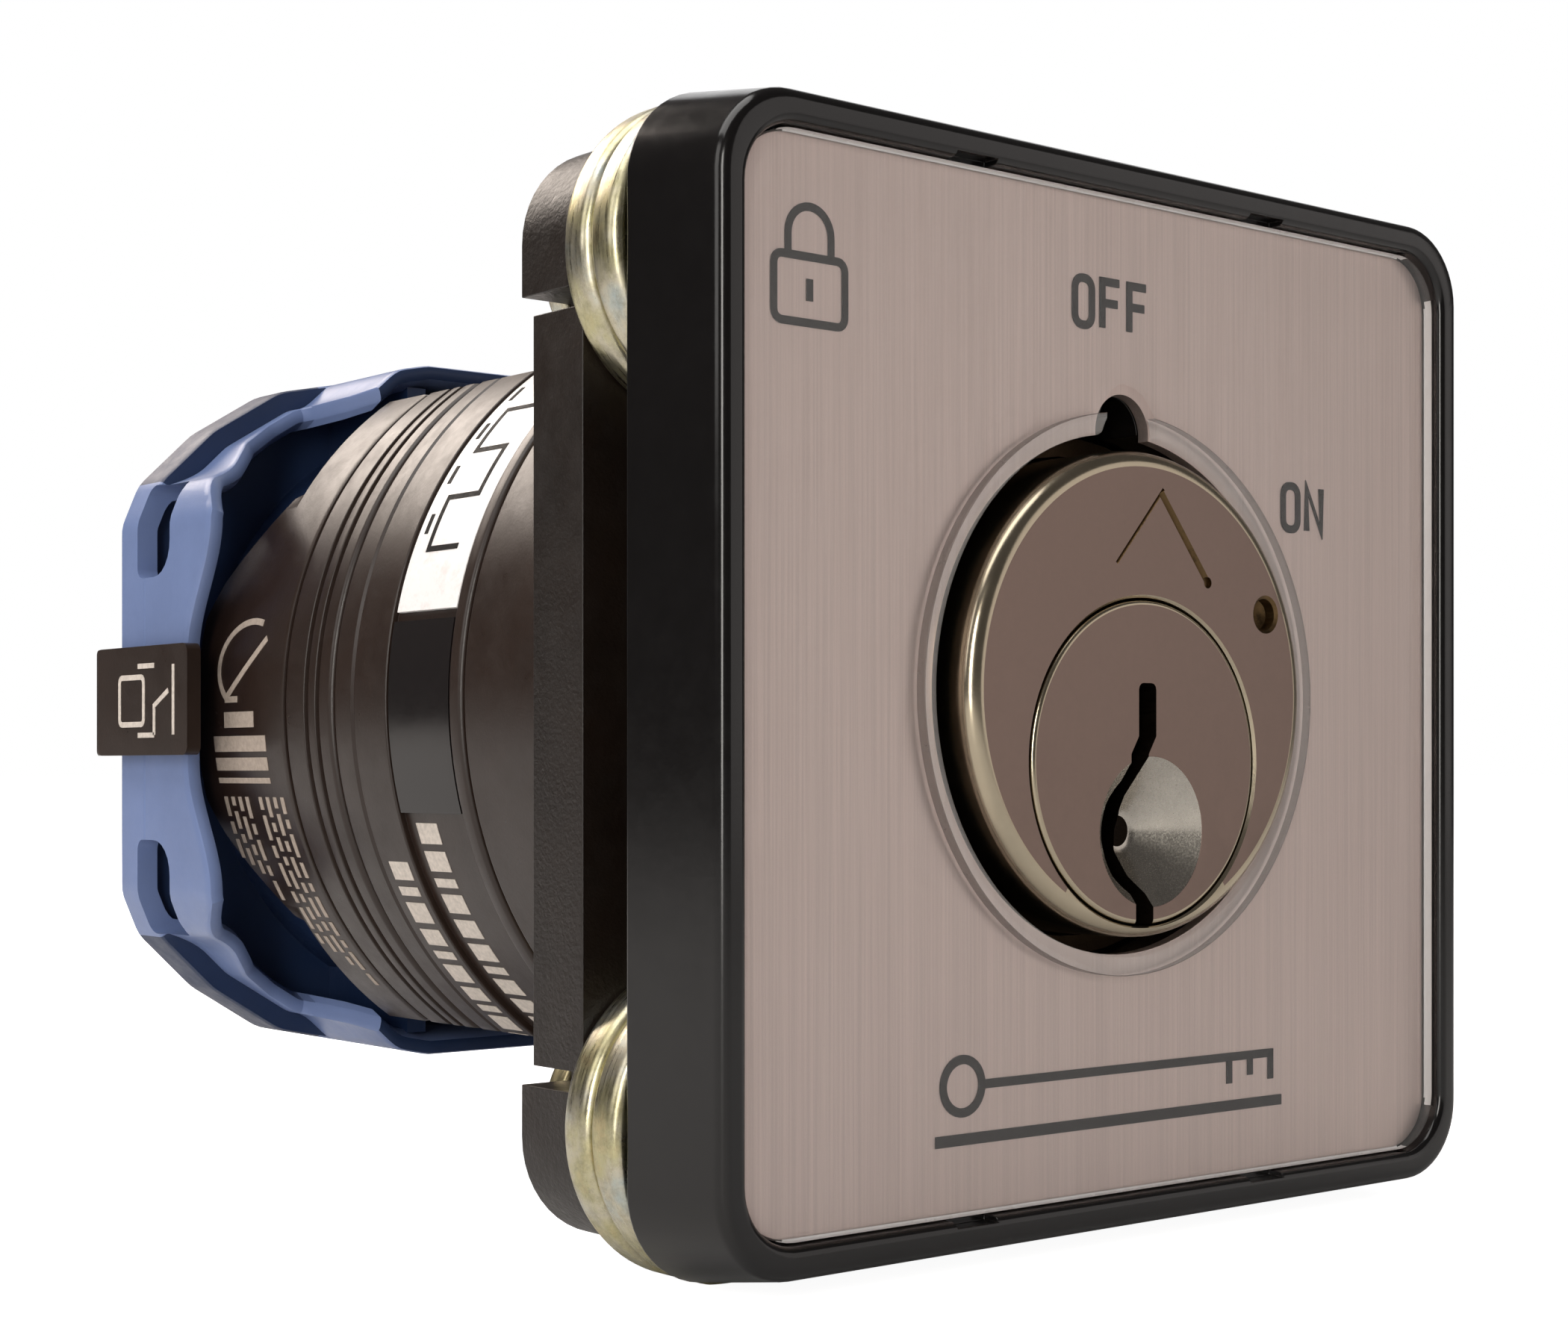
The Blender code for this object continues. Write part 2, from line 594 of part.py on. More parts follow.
def make_lock_housing():
    front, rear = LOCK_HOUSING_Y
    wall_end = front + 2.15
    hub_bore, hub_radius = SLEEVE_BODY + 0.1, 15.3
    profile = [
        (SLEEVE_NOSE + 0.15, front), (HOUSING_RADIUS - 0.4, front), (HOUSING_RADIUS, front + 0.4),
        (HOUSING_RADIUS, rear), (SLEEVE_NOSE + 0.15, rear),
    ]
    housing = lathe("lock_housing", profile, "black", segments=SEGMENTS_BIG)
    cut(housing, hollow_cutter("lock_hollow_cut", wall_end, rear + 1))
    ribs = [tube("housing_hub_add", hub_radius, hub_bore, wall_end - 0.5, rear)]
    for k in range(4):
        ribs.append(
            box(f"housing_rib_add_{k}", (hub_radius - 0.5, HOUSING_BORE + 0.5),
                (wall_end - 0.5, rear), (-0.8, 0.8), turn=45 + 90 * k)
        )
    key_slot = box("housing_key_cut", (-16, -13), (11.9, rear + 1), (-1.35, 1.35))
    return cut(join(housing, *ribs), key_slot, *tie_cutters("lock", 0, 30), *flat_cutters("lock"))


# ---- Drive and latch -------------------------------------------------------------------------

STOP_ANGLE = 60.0           # where the adapter's lug stands at OFF, counter-clockwise from +X


def make_adapter():
    front, flange_rear, hub_rear = BARREL_REAR_Y + 0.2, 19.4, 23.8
    profile = [
        (0, front), (12.3, front), (12.3, flange_rear), (7.0, flange_rear), (7.0, hub_rear),
        (0, hub_rear),
    ]
    adapter = lathe("drive_adapter", profile, "white_plastic")
    additions = [
        box("adapter_lug_add", (11.5, 15.5), (front + 0.7, flange_rear - 0.05), (-1.5, 1.5),
            turn=-STOP_ANGLE)
    ]
    for sx in (-1, 1):
        xs = sorted((sx * 4.4, sx * 8.0))
        additions.append(box(f"adapter_dog_add_{sx}", xs, (front - 1.7, front + 0.3), (4.7, 7.3)))
    socket = box(
        "adapter_socket_cut", (-SOCKET_HALF, SOCKET_HALF), (flange_rear + 0.6, hub_rear + 1),
        (-SOCKET_HALF, SOCKET_HALF),
    )
    return cut(join(adapter, *additions), socket)


def make_shaft():
    front, square_end, tip = 20.4, 50.0, 54.5
    half, edge = SHAFT_HALF, 0.4
    outline = [
        (half, -half + edge), (half, half - edge), (half - edge, half), (-half + edge, half),
        (-half, half - edge), (-half, -half + edge), (-half + edge, -half), (half - edge, -half),
    ]
    shaft = prism("drive_shaft", outline, front, square_end, "steel")
    journal = lathe(
        "shaft_journal_add",
        [(0, square_end - 0.5), (2.9, square_end - 0.5), (2.9, COVER_Y[1] + 0.2),
         (2.2, COVER_Y[1] + 0.2), (2.2, COVER_Y[1] + 1.0), (2.9, COVER_Y[1] + 1.0),
         (2.9, tip - 0.3), (2.6, tip), (0, tip)],
        segments=24,
    )
    return join(shaft, journal)


def make_shaft_clip():
    y0, y1 = COVER_Y[1] + 0.25, COVER_Y[1] + 0.95
    gap = 32
    outline = arc(CLIP_RADIUS, -90 + gap, 270 - gap, 24) + arc(2.3, 270 - gap, -90 + gap, 24)
    return prism("shaft_clip", outline, y0, y1, "steel")


def make_latch_housing():
    front, rear = LATCH_HOUSING_Y
    wall_front = rear - 2.3
    label_floor, label_ys = HOUSING_RADIUS - LABEL_DEPTH, (LABEL_Y[0] - 0.15, LABEL_Y[1] + 0.15)
    profile = [
        (SHAFT_HOLE, front), (HOUSING_RADIUS, front), (HOUSING_RADIUS, label_ys[0]),
        (label_floor, label_ys[0]), (label_floor, label_ys[1]), (HOUSING_RADIUS, label_ys[1]),
        (HOUSING_RADIUS, rear), (SHAFT_HOLE, rear),
    ]
    housing = lathe("latch_housing", profile, "black", segments=SEGMENTS_BIG)
    cut(housing, hollow_cutter("latch_hollow_cut", front - 1, wall_front))
    additions = []
    cutters = flat_cutters("latch") + tie_cutters("latch", front - 1, rear + 1)
    cutters += flat_cutters("label", HOUSING_FLAT - LABEL_DEPTH, label_ys)
    for k, turn in enumerate((0, 180)):
        additions.append(
            box(f"latch_guide_add_{k}", (10.0, HOUSING_BORE + 0.5), (23.0, wall_front + 0.5),
                (-4.2, 4.2), turn=turn)
        )
        cutters.append(
            box(f"latch_channel_cut_{k}", (9.0, 19.0), (STAR_Y[0] - 0.1, STAR_Y[1] + 0.1),
                (-2.65, 2.65), turn=turn)
        )
    for k, angle in enumerate((STOP_ANGLE + 14, STOP_ANGLE - SWITCH_ANGLE - 14)):
        additions.append(
            box(f"latch_stop_add_{k}", (13.1, HOUSING_BORE + 0.5), (front + 0.1, 20.6), (-1.5, 1.5),
                turn=-angle)
        )
    return cut(join(housing, *additions), *cutters)


def make_star_wheel():
    """Six valleys, one under each plunger at OFF and again at ON."""
    middle, swing, points = 7.85, 0.45, 48
    outline = []
    for k in range(points):
        angle = 2 * math.pi * k / points
        radius = middle - swing * math.cos(6 * angle)
        outline.append((radius * math.cos(angle), radius * math.sin(angle)))
    star = prism("star_wheel", outline, *STAR_Y, "red_plastic")
    return cut(star, square_hole("star_hole_cut", *STAR_Y))


def square_hole(name, y0, y1):
    span = (-SOCKET_HALF, SOCKET_HALF)
    return box(name, span, (y0 - 1, y1 + 1), span)


def make_detents():
    ys = (STAR_Y[0] + 0.1, STAR_Y[1] - 0.1)
    middle = sum(STAR_Y) / 2
    tip, tail, half = 8.55, 13.4, 2.5
    nose, shoulder = 1.2, 10.4
    outline = [
        (tail, -half), (tail, half), (shoulder, half), *arc(nose, 120, 240, 6, (tip + nose, 0)),
        (shoulder, -half),
    ]
    for side, turn in (("right", 0), ("left", 180)):
        sign = 1 if side == "right" else -1
        prism(f"detent_plunger_{side}", outline, *ys, "white_plastic", turn=turn)
        coil(f"detent_spring_{side}", (sign * 13.55, middle, 0), (sign * 18.85, middle, 0),
             1.05, 0.2, 4)


def label_outline(inset, start, end):
    """Half the body's outline, moved inwards, from start to end over the flat at the top."""
    radius = HOUSING_RADIUS - inset
    limit = math.degrees(math.asin((HOUSING_FLAT - inset) / radius))
    return arc(radius, start, limit, 9) + arc(radius, 180 - limit, end, 9)


def make_label():
    start, end = 12.0, 168.0
    outline = label_outline(0.1, start, end) + label_outline(0.3, start, end)[::-1]
    return prism("label_band", outline, *LABEL_Y, "label")


# ---- Contact stage ---------------------------------------------------------------------------


def make_contact_housing_front():
    front, rear = CONTACT_FRONT_Y
    groove, ridge = 0.4, 1.5
    profile = [(SHAFT_HOLE, front), (HOUSING_RADIUS, front)]
    y = front + ridge
    while y + groove < rear - 0.5:
        profile += [
            (HOUSING_RADIUS, y), (HOUSING_RADIUS - groove, y),
            (HOUSING_RADIUS - groove, y + groove), (HOUSING_RADIUS, y + groove),
        ]
        y += ridge + groove
    profile += [(HOUSING_RADIUS, rear), (SHAFT_HOLE, rear)]
    housing = lathe("contact_housing_front", profile, "black", segments=SEGMENTS_BIG)
    cut(housing, hollow_cutter("contact_hollow_cut", front + 1.3, rear + 1))
    return cut(housing, *tie_cutters("contact", front - 1, rear + 1), *flat_cutters("contact"))


def stage_tongue(name, side):
    """A tapering piece of the body's wall that reaches back into the shroud."""
    outer, inner, spread = HOUSING_RADIUS - 0.1, HOUSING_BORE + 0.15, 40
    front, rear = CONTACT_REAR_Y[1] - 0.6, TONGUE_REAR_Y
    sector = arc(outer, -spread, spread, 10) + arc(inner, spread, -spread, 10)
    turn = 90 - 90 * side
    tongue = prism(name, sector, front, rear, turn=turn)
    wide = [(12, -12.0), (24, -12.0), (24, 12.0), (12, 12.0)]
    narrow = [(12, -5.6), (24, -5.6), (24, 5.6), (12, 5.6)]
    taper = prism(f"{name}_taper_cut", wide, front - 0.1, rear + 0.1, far_outline=narrow, turn=turn)
    return combine(tongue, [taper], "INTERSECT")


def make_contact_housing_rear():
    front, rear = CONTACT_REAR_Y
    floor = rear - 1.3
    housing = prism(
        "contact_housing_rear", flattened_circle(HOUSING_RADIUS, HOUSING_FLAT), front, rear, "black"
    )
    cut(housing, hollow_cutter("stage_hollow_cut", front - 1, floor))
    guides = []
    cutters = [disc("stage_shaft_cut", SHAFT_HOLE, front, rear + 1)]
    cutters += tie_cutters("stage", front - 1, rear + 1)
    for sx in (-1, 1):
        for sz in (-1, 1):
            guides.append(
                box(f"stage_guide_add_{sx}_{sz}", sorted((sx * 9.4, sx * 12.2)),
                    (CONTACT_CAM_Y[0] + 0.4, floor + 0.5), sorted((sz * 3.2, sz * 4.4)))
            )
            cutters.append(
                box(f"stage_terminal_cut_{sx}_{sz}", sorted((sx * 10.4, sx * 11.8)),
                    (floor - 1, rear + 1), sorted((sz * 5.2, sz * 10.8)))
            )
        guides.append(stage_tongue(f"stage_tongue_add_{sx}", sx))
    return cut(join(housing, *guides), *cutters)


def contact_cam_radius(angle):
    """Radius at an angle in degrees: constant, then a steady fall while the switch turns, twice."""
    angle %= 180.0
    rise_start = 110.0
    if angle <= SWITCH_ANGLE:
        return CAM_HIGH - CONTACT_TRAVEL * angle / SWITCH_ANGLE
    if angle <= rise_start:
        return CAM_HIGH - CONTACT_TRAVEL
    if angle <= 150.0:
        return CAM_HIGH - CONTACT_TRAVEL * (150.0 - angle) / (150.0 - rise_start)
    return CAM_HIGH


def make_contact_cam():
    outline = []
    for k in range(60):
        angle = 6.0 * k
        radius = contact_cam_radius(angle)
        outline.append((radius * math.cos(math.radians(angle)), radius * math.sin(math.radians(angle))))
    cam = prism("contact_cam", outline, *CONTACT_CAM_Y, "red_plastic")
    return cut(cam, square_hole("contact_cam_hole_cut", *CONTACT_CAM_Y))


def make_moving_contacts():
    tip, shoulder = CAM_HIGH + 0.2, 14.4
    plunger = [(shoulder, -3.0), (shoulder, 3.0), (10.2, 3.0), (tip, 0.8), (tip, -0.8), (10.2, -3.0)]
    bar_x, pad_x, pad_z = (14.6, 15.6), 14.2, 8.0
    for side, sign in (("right", 1), ("left", -1)):
        turn = 0 if sign == 1 else 180
        prism(f"contact_plunger_{side}", plunger, 33.0, 37.6, "white_plastic", turn=turn)
        bridge = box(
            f"contact_bridge_{side}", bar_x, (CONTACT_Y - 1.7, CONTACT_Y + 1.7), (-9.4, 9.4),
            "copper", turn=turn,
        )
        pads = [
            rod(f"bridge_pad_add_{side}_{s}", 1.5, (sign * pad_x, CONTACT_Y, s * pad_z),
                (sign * (bar_x[0] + 0.3), CONTACT_Y, s * pad_z))
            for s in (-1, 1)
        ]
        join(bridge, *pads)
        coil(f"contact_spring_{side}", (sign * 15.75, CONTACT_Y, 0), (sign * 18.9, CONTACT_Y, 0),
             1.8, 0.25, 3)


def make_terminals():
    strip_x, strip_z, pad_z = (10.6, 11.6), (5.4, 10.6), 8.0
    number = 1
    for sx in (-1, 1):
        for sz in (1, -1):
            xs, zs = sorted(sx * x for x in strip_x), sorted(sz * z for z in strip_z)
            strip = box(f"terminal_{number}", xs, (33.2, 46.6), zs, "copper")
            pad = rod(
                f"terminal_pad_add_{number}", 1.5, (sx * 11.3, CONTACT_Y, sz * pad_z),
                (sx * 12.0, CONTACT_Y, sz * pad_z),
            )
            clamp = box(
                f"terminal_clamp_add_{number}", sorted((sx * 11.3, sx * 13.2)), (42.0, 46.6),
                sorted((sz * 5.6, sz * 10.4)),
            )
            hole = rod(
                f"terminal_hole_cut_{number}", 1.1, (sx * 9, 44.3, sz * pad_z),
                (sx * 15, 44.3, sz * pad_z),
            )
            cut(join(strip, pad, clamp), hole)
            number += 1


# ---- Rear: terminal shroud, cover, tie bolts -------------------------------------------------


def make_shroud():
    front, rear = SHROUD_Y
    outline = mirrored_quadrant(SHROUD_QUADRANT)
    rear_wall, lip_back, far = rear - 1.5, 43.2, 26.0
    shroud = prism("terminal_shroud", outline, front, rear, "blue")
    hollow = prism("shroud_hollow_cut", offset_outline(outline, SHROUD_WALL), front - 1, rear_wall)
    additions = [
        tube("shroud_drum_add", DRUM_RADIUS, DRUM_BORE, front, rear_wall + 0.5, segments=SEGMENTS_BIG)
    ]
    cutters = [disc("shroud_shaft_cut", SHAFT_HOLE, 48, rear + 1)]
    cutters += tie_cutters("shroud", 48, rear + 1)
    for s in (-1, 1):
        # the drum is open at the top and bottom, between two pillars
        cutters.append(
            box(f"shroud_top_cut_{s}", (-8.7, 8.7), (front - 1, 45.5), sorted((s * 13.0, s * 18.3)))
        )
    for sx in (-1, 1):
        # the lip steps back a little beside the body's tongues
        cutters.append(
            box(f"shroud_side_cut_{sx}", sorted((sx * 19.0, sx * far)), (front - 1, 42.2), (-6.0, 6.0))
        )
        for sz in (-1, 1):
            key = f"{sx}_{sz}"
            additions.append(
                box(f"shroud_pillar_add_{key}", sorted((sx * 8.8, sx * 10.0)), (41.0, rear_wall + 0.5),
                    sorted((sz * 15.0, sz * 18.9)))
            )
            cutters += [
                # the lip steps back at the diagonals
                box(f"shroud_lip_cut_{key}", sorted((sx * 12.4, sx * far)), (front - 1, lip_back),
                    sorted((sz * 12.0, sz * far))),
                # slots above and below the cover's arms
                box(f"shroud_slot_cut_{key}", sorted((sx * 20.0, sx * far)), (45.2, 49.2),
                    sorted((sz * 7.3, sz * 12.3))),
                # terminal windows in the drum
                box(f"shroud_window_cut_{key}", (14.0, 19.5), (41.2, 44.8), (-2.4, 2.4),
                    turn=math.degrees(math.atan2(-sz, sx)) + sx * sz * 7),
            ]
    return cut(join(cut(shroud, hollow), *additions), *cutters)


def make_rear_cover():
    front, rear = COVER_Y
    outline = offset_outline(mirrored_quadrant(SHROUD_QUADRANT), 0.9)
    cover = prism("rear_cover", outline, front, rear, "black")
    arm_front, arm_x = 41.0, (22.85, 23.65)
    arms = []
    for sx in (-1, 1):
        arms.append(
            box(f"cover_arm_add_{sx}", sorted(sx * x for x in arm_x), (arm_front, rear), ARM_Z)
        )
        arms.append(
            box(f"cover_bridge_add_{sx}", sorted((sx * 20.0, sx * arm_x[1])), (front, rear), ARM_Z)
        )
    seat_y = (rear - SEAT_DEPTH, rear + 1)
    cutters = [
        disc("cover_shaft_cut", 3.0, front - 1, rear + 1, segments=24),
        disc("cover_clip_seat_cut", CLIP_RADIUS + 0.3, *seat_y, segments=24),
    ]
    cutters += tie_cutters("cover", front - 1, rear + 1)
    for s in (-1, 1):
        cutters.append(
            disc(f"cover_seat_cut_{s}", TIE_HEAD_RADIUS + 0.3, *seat_y, centre=(0, s * TIE_Z),
                 segments=SEGMENTS)
        )
    return cut(join(cover, *arms), *cutters)


def make_tie_bolts():
    head_radius, head_height, tip = TIE_HEAD_RADIUS, 1.7, 5.0
    under = COVER_Y[1] + CLEARANCE
    for name, s in (("top", 1), ("bottom", -1)):
        profile = [
            (0, tip), (TIE_RADIUS, tip), (TIE_RADIUS, under), (head_radius, under),
            (head_radius, under + head_height - 0.4), (head_radius - 0.4, under + head_height),
            (0, under + head_height),
        ]
        bolt = lathe(f"tie_bolt_{name}", profile, "zinc", (0, s * TIE_Z), 14)
        top = under + head_height
        slot = box(
            f"tie_slot_cut_{name}", (-3, 3), (top - 0.8, top + 1), (s * TIE_Z - 0.35, s * TIE_Z + 0.35)
        )
        cut(bolt, slot)


for build in (
    make_bezel, make_window, make_legend, make_washers, make_panel_screws, make_mounting_plate,
    make_sleeve, make_barrel, make_plug, make_pins, make_plug_cam, make_bolt, make_lock_housing,
    make_adapter, make_shaft, make_shaft_clip, make_latch_housing, make_star_wheel, make_detents,
    make_label, make_contact_housing_front, make_contact_housing_rear, make_contact_cam,
    make_moving_contacts, make_terminals, make_shroud, make_rear_cover, make_tie_bolts,
):
    build()
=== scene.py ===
"""Key-operated rotary isolator switch: the looks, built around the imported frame.

Lengths are millimetres until a mesh is finished, which scales it to the frame's metres. The switch
axis is Y, the front faces -Y and OFF is up, at +Z. Angles about the axis are in degrees,
counter-clockwise from +X as seen from the front.
"""

import math

import bmesh
import bpy
from mathutils import Matrix, Vector


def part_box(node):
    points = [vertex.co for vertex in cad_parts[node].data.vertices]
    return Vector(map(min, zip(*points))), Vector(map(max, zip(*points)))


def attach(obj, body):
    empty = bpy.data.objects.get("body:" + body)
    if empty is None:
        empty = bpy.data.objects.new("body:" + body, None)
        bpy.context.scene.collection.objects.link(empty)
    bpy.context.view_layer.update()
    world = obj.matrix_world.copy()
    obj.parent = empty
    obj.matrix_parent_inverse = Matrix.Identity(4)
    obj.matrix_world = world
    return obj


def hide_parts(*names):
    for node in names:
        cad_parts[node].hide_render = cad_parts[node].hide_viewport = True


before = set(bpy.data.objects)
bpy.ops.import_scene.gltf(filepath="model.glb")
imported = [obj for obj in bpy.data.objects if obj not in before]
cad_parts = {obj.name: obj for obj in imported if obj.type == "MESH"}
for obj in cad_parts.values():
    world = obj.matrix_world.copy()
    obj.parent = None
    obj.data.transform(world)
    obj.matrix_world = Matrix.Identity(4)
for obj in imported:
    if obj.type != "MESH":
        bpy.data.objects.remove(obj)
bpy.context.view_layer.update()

MM = 0.001
CREASE = math.radians(30)   # smooth shading stops at an edge sharper than this
SHARP = math.radians(50)    # a rounded edge is one sharper than this
FINE_ROUND = 192            # segments of the largest round pieces
ROUND = 128                 # of the other round pieces
SMALL_ROUND = 48            # and of screw holes and the like
SIDES = (-1, 1)
QUARTERS = ((-1, -1), (-1, 1), (1, -1), (1, 1))


def span(node):
    """Lowest and highest corner of a CAD node, in millimetres."""
    low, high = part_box(node)
    return Vector(low) / MM, Vector(high) / MM


def axis_of(node):
    """Where a CAD node's axis along Y stands, as (x, z)."""
    low, high = span(node)
    return (low.x + high.x) / 2, (low.z + high.z) / 2


# ---- Driving sizes, from the frame -----------------------------------------------------------

BEZEL_LOW, BEZEL_HIGH = span("bezel")
BEZEL_FRONT, BEZEL_BACK = BEZEL_LOW.y, BEZEL_HIGH.y
BEZEL_REAR_HALF, BEZEL_FRONT_HALF = BEZEL_HIGH.x, BEZEL_HIGH.x - 0.7
WINDOW_LOW, WINDOW_HIGH = span("clear_window")
LEGEND_LOW, LEGEND_HIGH = span("legend_plate")
WINDOW_HALF, WINDOW_CORNER = WINDOW_HIGH.x, 2.7
OPENING, RING = 11.8, 12.75             # lock opening, and the window's bevel round it
NOTCH, NOTCH_Z = 1.75, 11.9
PLATE_LOW, PLATE_HIGH = span("mounting_plate")
PLATE_TIE_FROM, PLATE_TIE = 4.6, 1.4     # where the tie bolts' holes start in it, and their radius
BARREL_LOW, BARREL_HIGH = span("lock_barrel")
BARREL = BARREL_HIGH.x
PLUG_LOW, PLUG_HIGH = span("key_plug")
PLUG = (PLUG_HIGH.z - PLUG_LOW.z) / 2
PLUG_Z = -3.07
BODY, BODY_BORE = 21.0, 19.2            # radius of the round body, outside and inside
FLAT = span("lock_housing")[1].z        # height of the flats at its top and bottom
INNER_FLAT = FLAT - 1.5
SHROUD_LOW, SHROUD_HIGH = span("terminal_shroud")
COVER_LOW, COVER_HIGH = span("rear_cover")
TIE_Z = axis_of("tie_bolt_top")[1]
LOCK_HOLE, SHAFT_HOLE, SCREW_HOLE = 12.15, 4.6, 2.2     # radii of the holes for them
PIN_YS, PIN_BORE = (2.2, 6.2, 10.2), 1.35
SCOOP = (0.3, -6.2)                     # middle of the plug's conical scoop
BEHIND = 60                             # a Y past the rear of every piece


# ---- Materials -------------------------------------------------------------------------------


def rgb(red, green, blue):
    """A screen colour, 0 to 255, as the linear colour that shaders take."""
    linear = []
    for value in (red, green, blue):
        value /= 255
        linear.append(value / 12.92 if value <= 0.04045 else ((value + 0.055) / 1.055) ** 2.4)
    return (*linear, 1.0)


def shaded(colour, factor):
    return (*(min(1.0, c * factor) for c in colour[:3]), 1.0)


class Surface:
    """A Principled material, with helpers that hang procedural detail on it."""

    def __init__(self, name, colour, roughness, metallic=0.0, **sockets):
        self.material = bpy.data.materials.new(name)
        self.material.use_nodes = True
        self.nodes = self.material.node_tree.nodes
        self.links = self.material.node_tree.links
        self.shader = self.nodes["Principled BSDF"]
        self.colour = colour
        self.shader.inputs["Base Color"].default_value = colour
        self.shader.inputs["Roughness"].default_value = roughness
        self.shader.inputs["Metallic"].default_value = metallic
        for key, value in sockets.items():
            self.shader.inputs[key.replace("_", " ")].default_value = value
        self.coordinates = self.nodes.new("ShaderNodeTexCoord")

    def noise(self, size, stretch=(1, 1, 1), detail=4.0, rough=0.6):
        """Noise whose features are about size millimetres, stretched along an axis by a factor."""
        mapping = self.nodes.new("ShaderNodeMapping")
        mapping.inputs["Scale"].default_value = [1 / (size * MM * s) for s in stretch]
        texture = self.nodes.new("ShaderNodeTexNoise")
        texture.inputs["Scale"].default_value = 1.0
        texture.inputs["Detail"].default_value = detail
        texture.inputs["Roughness"].default_value = rough
        self.links.new(self.coordinates.outputs["Object"], mapping.inputs["Vector"])
        self.links.new(mapping.outputs["Vector"], texture.inputs["Vector"])
        return texture.outputs["Fac"]

    def spread(self, factor, low, high, from_low=0.3, from_high=0.7):
        node = self.nodes.new("ShaderNodeMapRange")
        for key, value in (("From Min", from_low), ("From Max", from_high),
                           ("To Min", low), ("To Max", high)):
            node.inputs[key].default_value = value
        self.links.new(factor, node.inputs["Value"])
        return node.outputs["Result"]

    def ramp(self, factor, stops):
        node = self.nodes.new("ShaderNodeValToRGB")
        elements = node.color_ramp.elements
        while len(elements) < len(stops):
            elements.new(0.5)
        for element, (position, colour) in zip(elements, stops):
            element.position = position
            element.color = colour
        self.links.new(factor, node.inputs["Fac"])
        return node.outputs["Color"]

    def tones(self, factor, dark, light, ends=(0.3, 0.7)):
        """The base colour, from dark to light times itself along factor."""
        stops = zip(ends, (shaded(self.colour, dark), shaded(self.colour, light)))
        return self.ramp(factor, tuple(stops))

    def mix(self, factor, first, second):
        """first where factor is 0, second where it is 1; each a colour or a socket."""
        node = self.nodes.new("ShaderNodeMix")
        node.data_type = "RGBA"
        self.links.new(factor, node.inputs["Factor"])
        for socket, value in ((node.inputs[6], first), (node.inputs[7], second)):
            if isinstance(value, tuple):
                socket.default_value = value
            else:
                self.links.new(value, socket)
        return node.outputs[2]

    def paint(self, colour=None, roughness=None):
        if colour is not None:
            self.links.new(colour, self.shader.inputs["Base Color"])
        if roughness is not None:
            self.links.new(roughness, self.shader.inputs["Roughness"])
        return self

    def bump(self, *layers):
        """Each layer is (height, depth in millimetres, strength)."""
        normal = None
        for height, depth, strength in layers:
            node = self.nodes.new("ShaderNodeBump")
            node.inputs["Distance"].default_value = depth * MM
            node.inputs["Strength"].default_value = strength
            self.links.new(height, node.inputs["Height"])
            if normal is not None:
                self.links.new(normal, node.inputs["Normal"])
            normal = node.outputs["Normal"]
        self.links.new(normal, self.shader.inputs["Normal"])
        return self


def moulded(name, colour, roughness, grain=0.12, depth=0.01, contrast=0.12, **sockets):
    """Moulded plastic: faint flow mottling, uneven gloss and a fine spark-eroded grain."""
    surface = Surface(name, colour, roughness, **sockets)
    flow = surface.noise(6.0, detail=5.0)
    fine = surface.noise(grain, detail=2.0)
    scuff = surface.noise(1.6, detail=6.0, rough=0.75)
    tone = surface.tones(flow, 1 - contrast, 1 + contrast)
    gloss = surface.spread(scuff, roughness * 0.8, roughness * 1.25)
    surface.paint(tone, gloss)
    surface.bump((fine, depth, 0.5), (flow, 0.08, 0.12))
    return surface.material


def machined(name, colour, roughness, stretch=(1, 1, 1), grain=0.08, depth=0.004, contrast=0.12,
             tarnish=None):
    """Plated or machined metal: fine tool marks along one axis, clouding, and tarnish."""
    surface = Surface(name, colour, roughness, 1.0)
    marks = surface.noise(grain, stretch, detail=3.0)
    cloud = surface.noise(2.5, detail=5.0, rough=0.7)
    tone = surface.tones(cloud, 1 - contrast, 1 + contrast)
    if tarnish is not None:
        spots = surface.spread(surface.noise(0.9, detail=6.0, rough=0.8), 0.0, 0.8, 0.52, 0.68)
        tone = surface.mix(spots, tone, tarnish)
    gloss = surface.spread(marks, roughness * 0.75, roughness * 1.35)
    surface.paint(tone, gloss)
    surface.bump((marks, depth, 0.6))
    return surface.material


def brushed_legend():
    """Vertically brushed warm aluminium: hair-fine streaks of tone, gloss and height."""
    surface = Surface("brushed_legend", rgb(200, 182, 175), 0.4, 0.8)
    hair = surface.noise(0.09, (1, 1, 160), detail=2.0)
    streak = surface.noise(0.5, (1, 1, 60), detail=4.0)
    cloud = surface.noise(14.0, detail=3.0)
    fine = surface.tones(hair, 0.86, 1.1, (0.35, 0.65))
    broad = surface.tones(streak, 0.88, 1.1)
    tone = surface.mix(surface.spread(cloud, 0.35, 0.65), fine, broad)
    surface.paint(tone, surface.spread(streak, 0.34, 0.48))
    surface.bump((hair, 0.004, 0.5), (streak, 0.006, 0.25))
    return surface.material


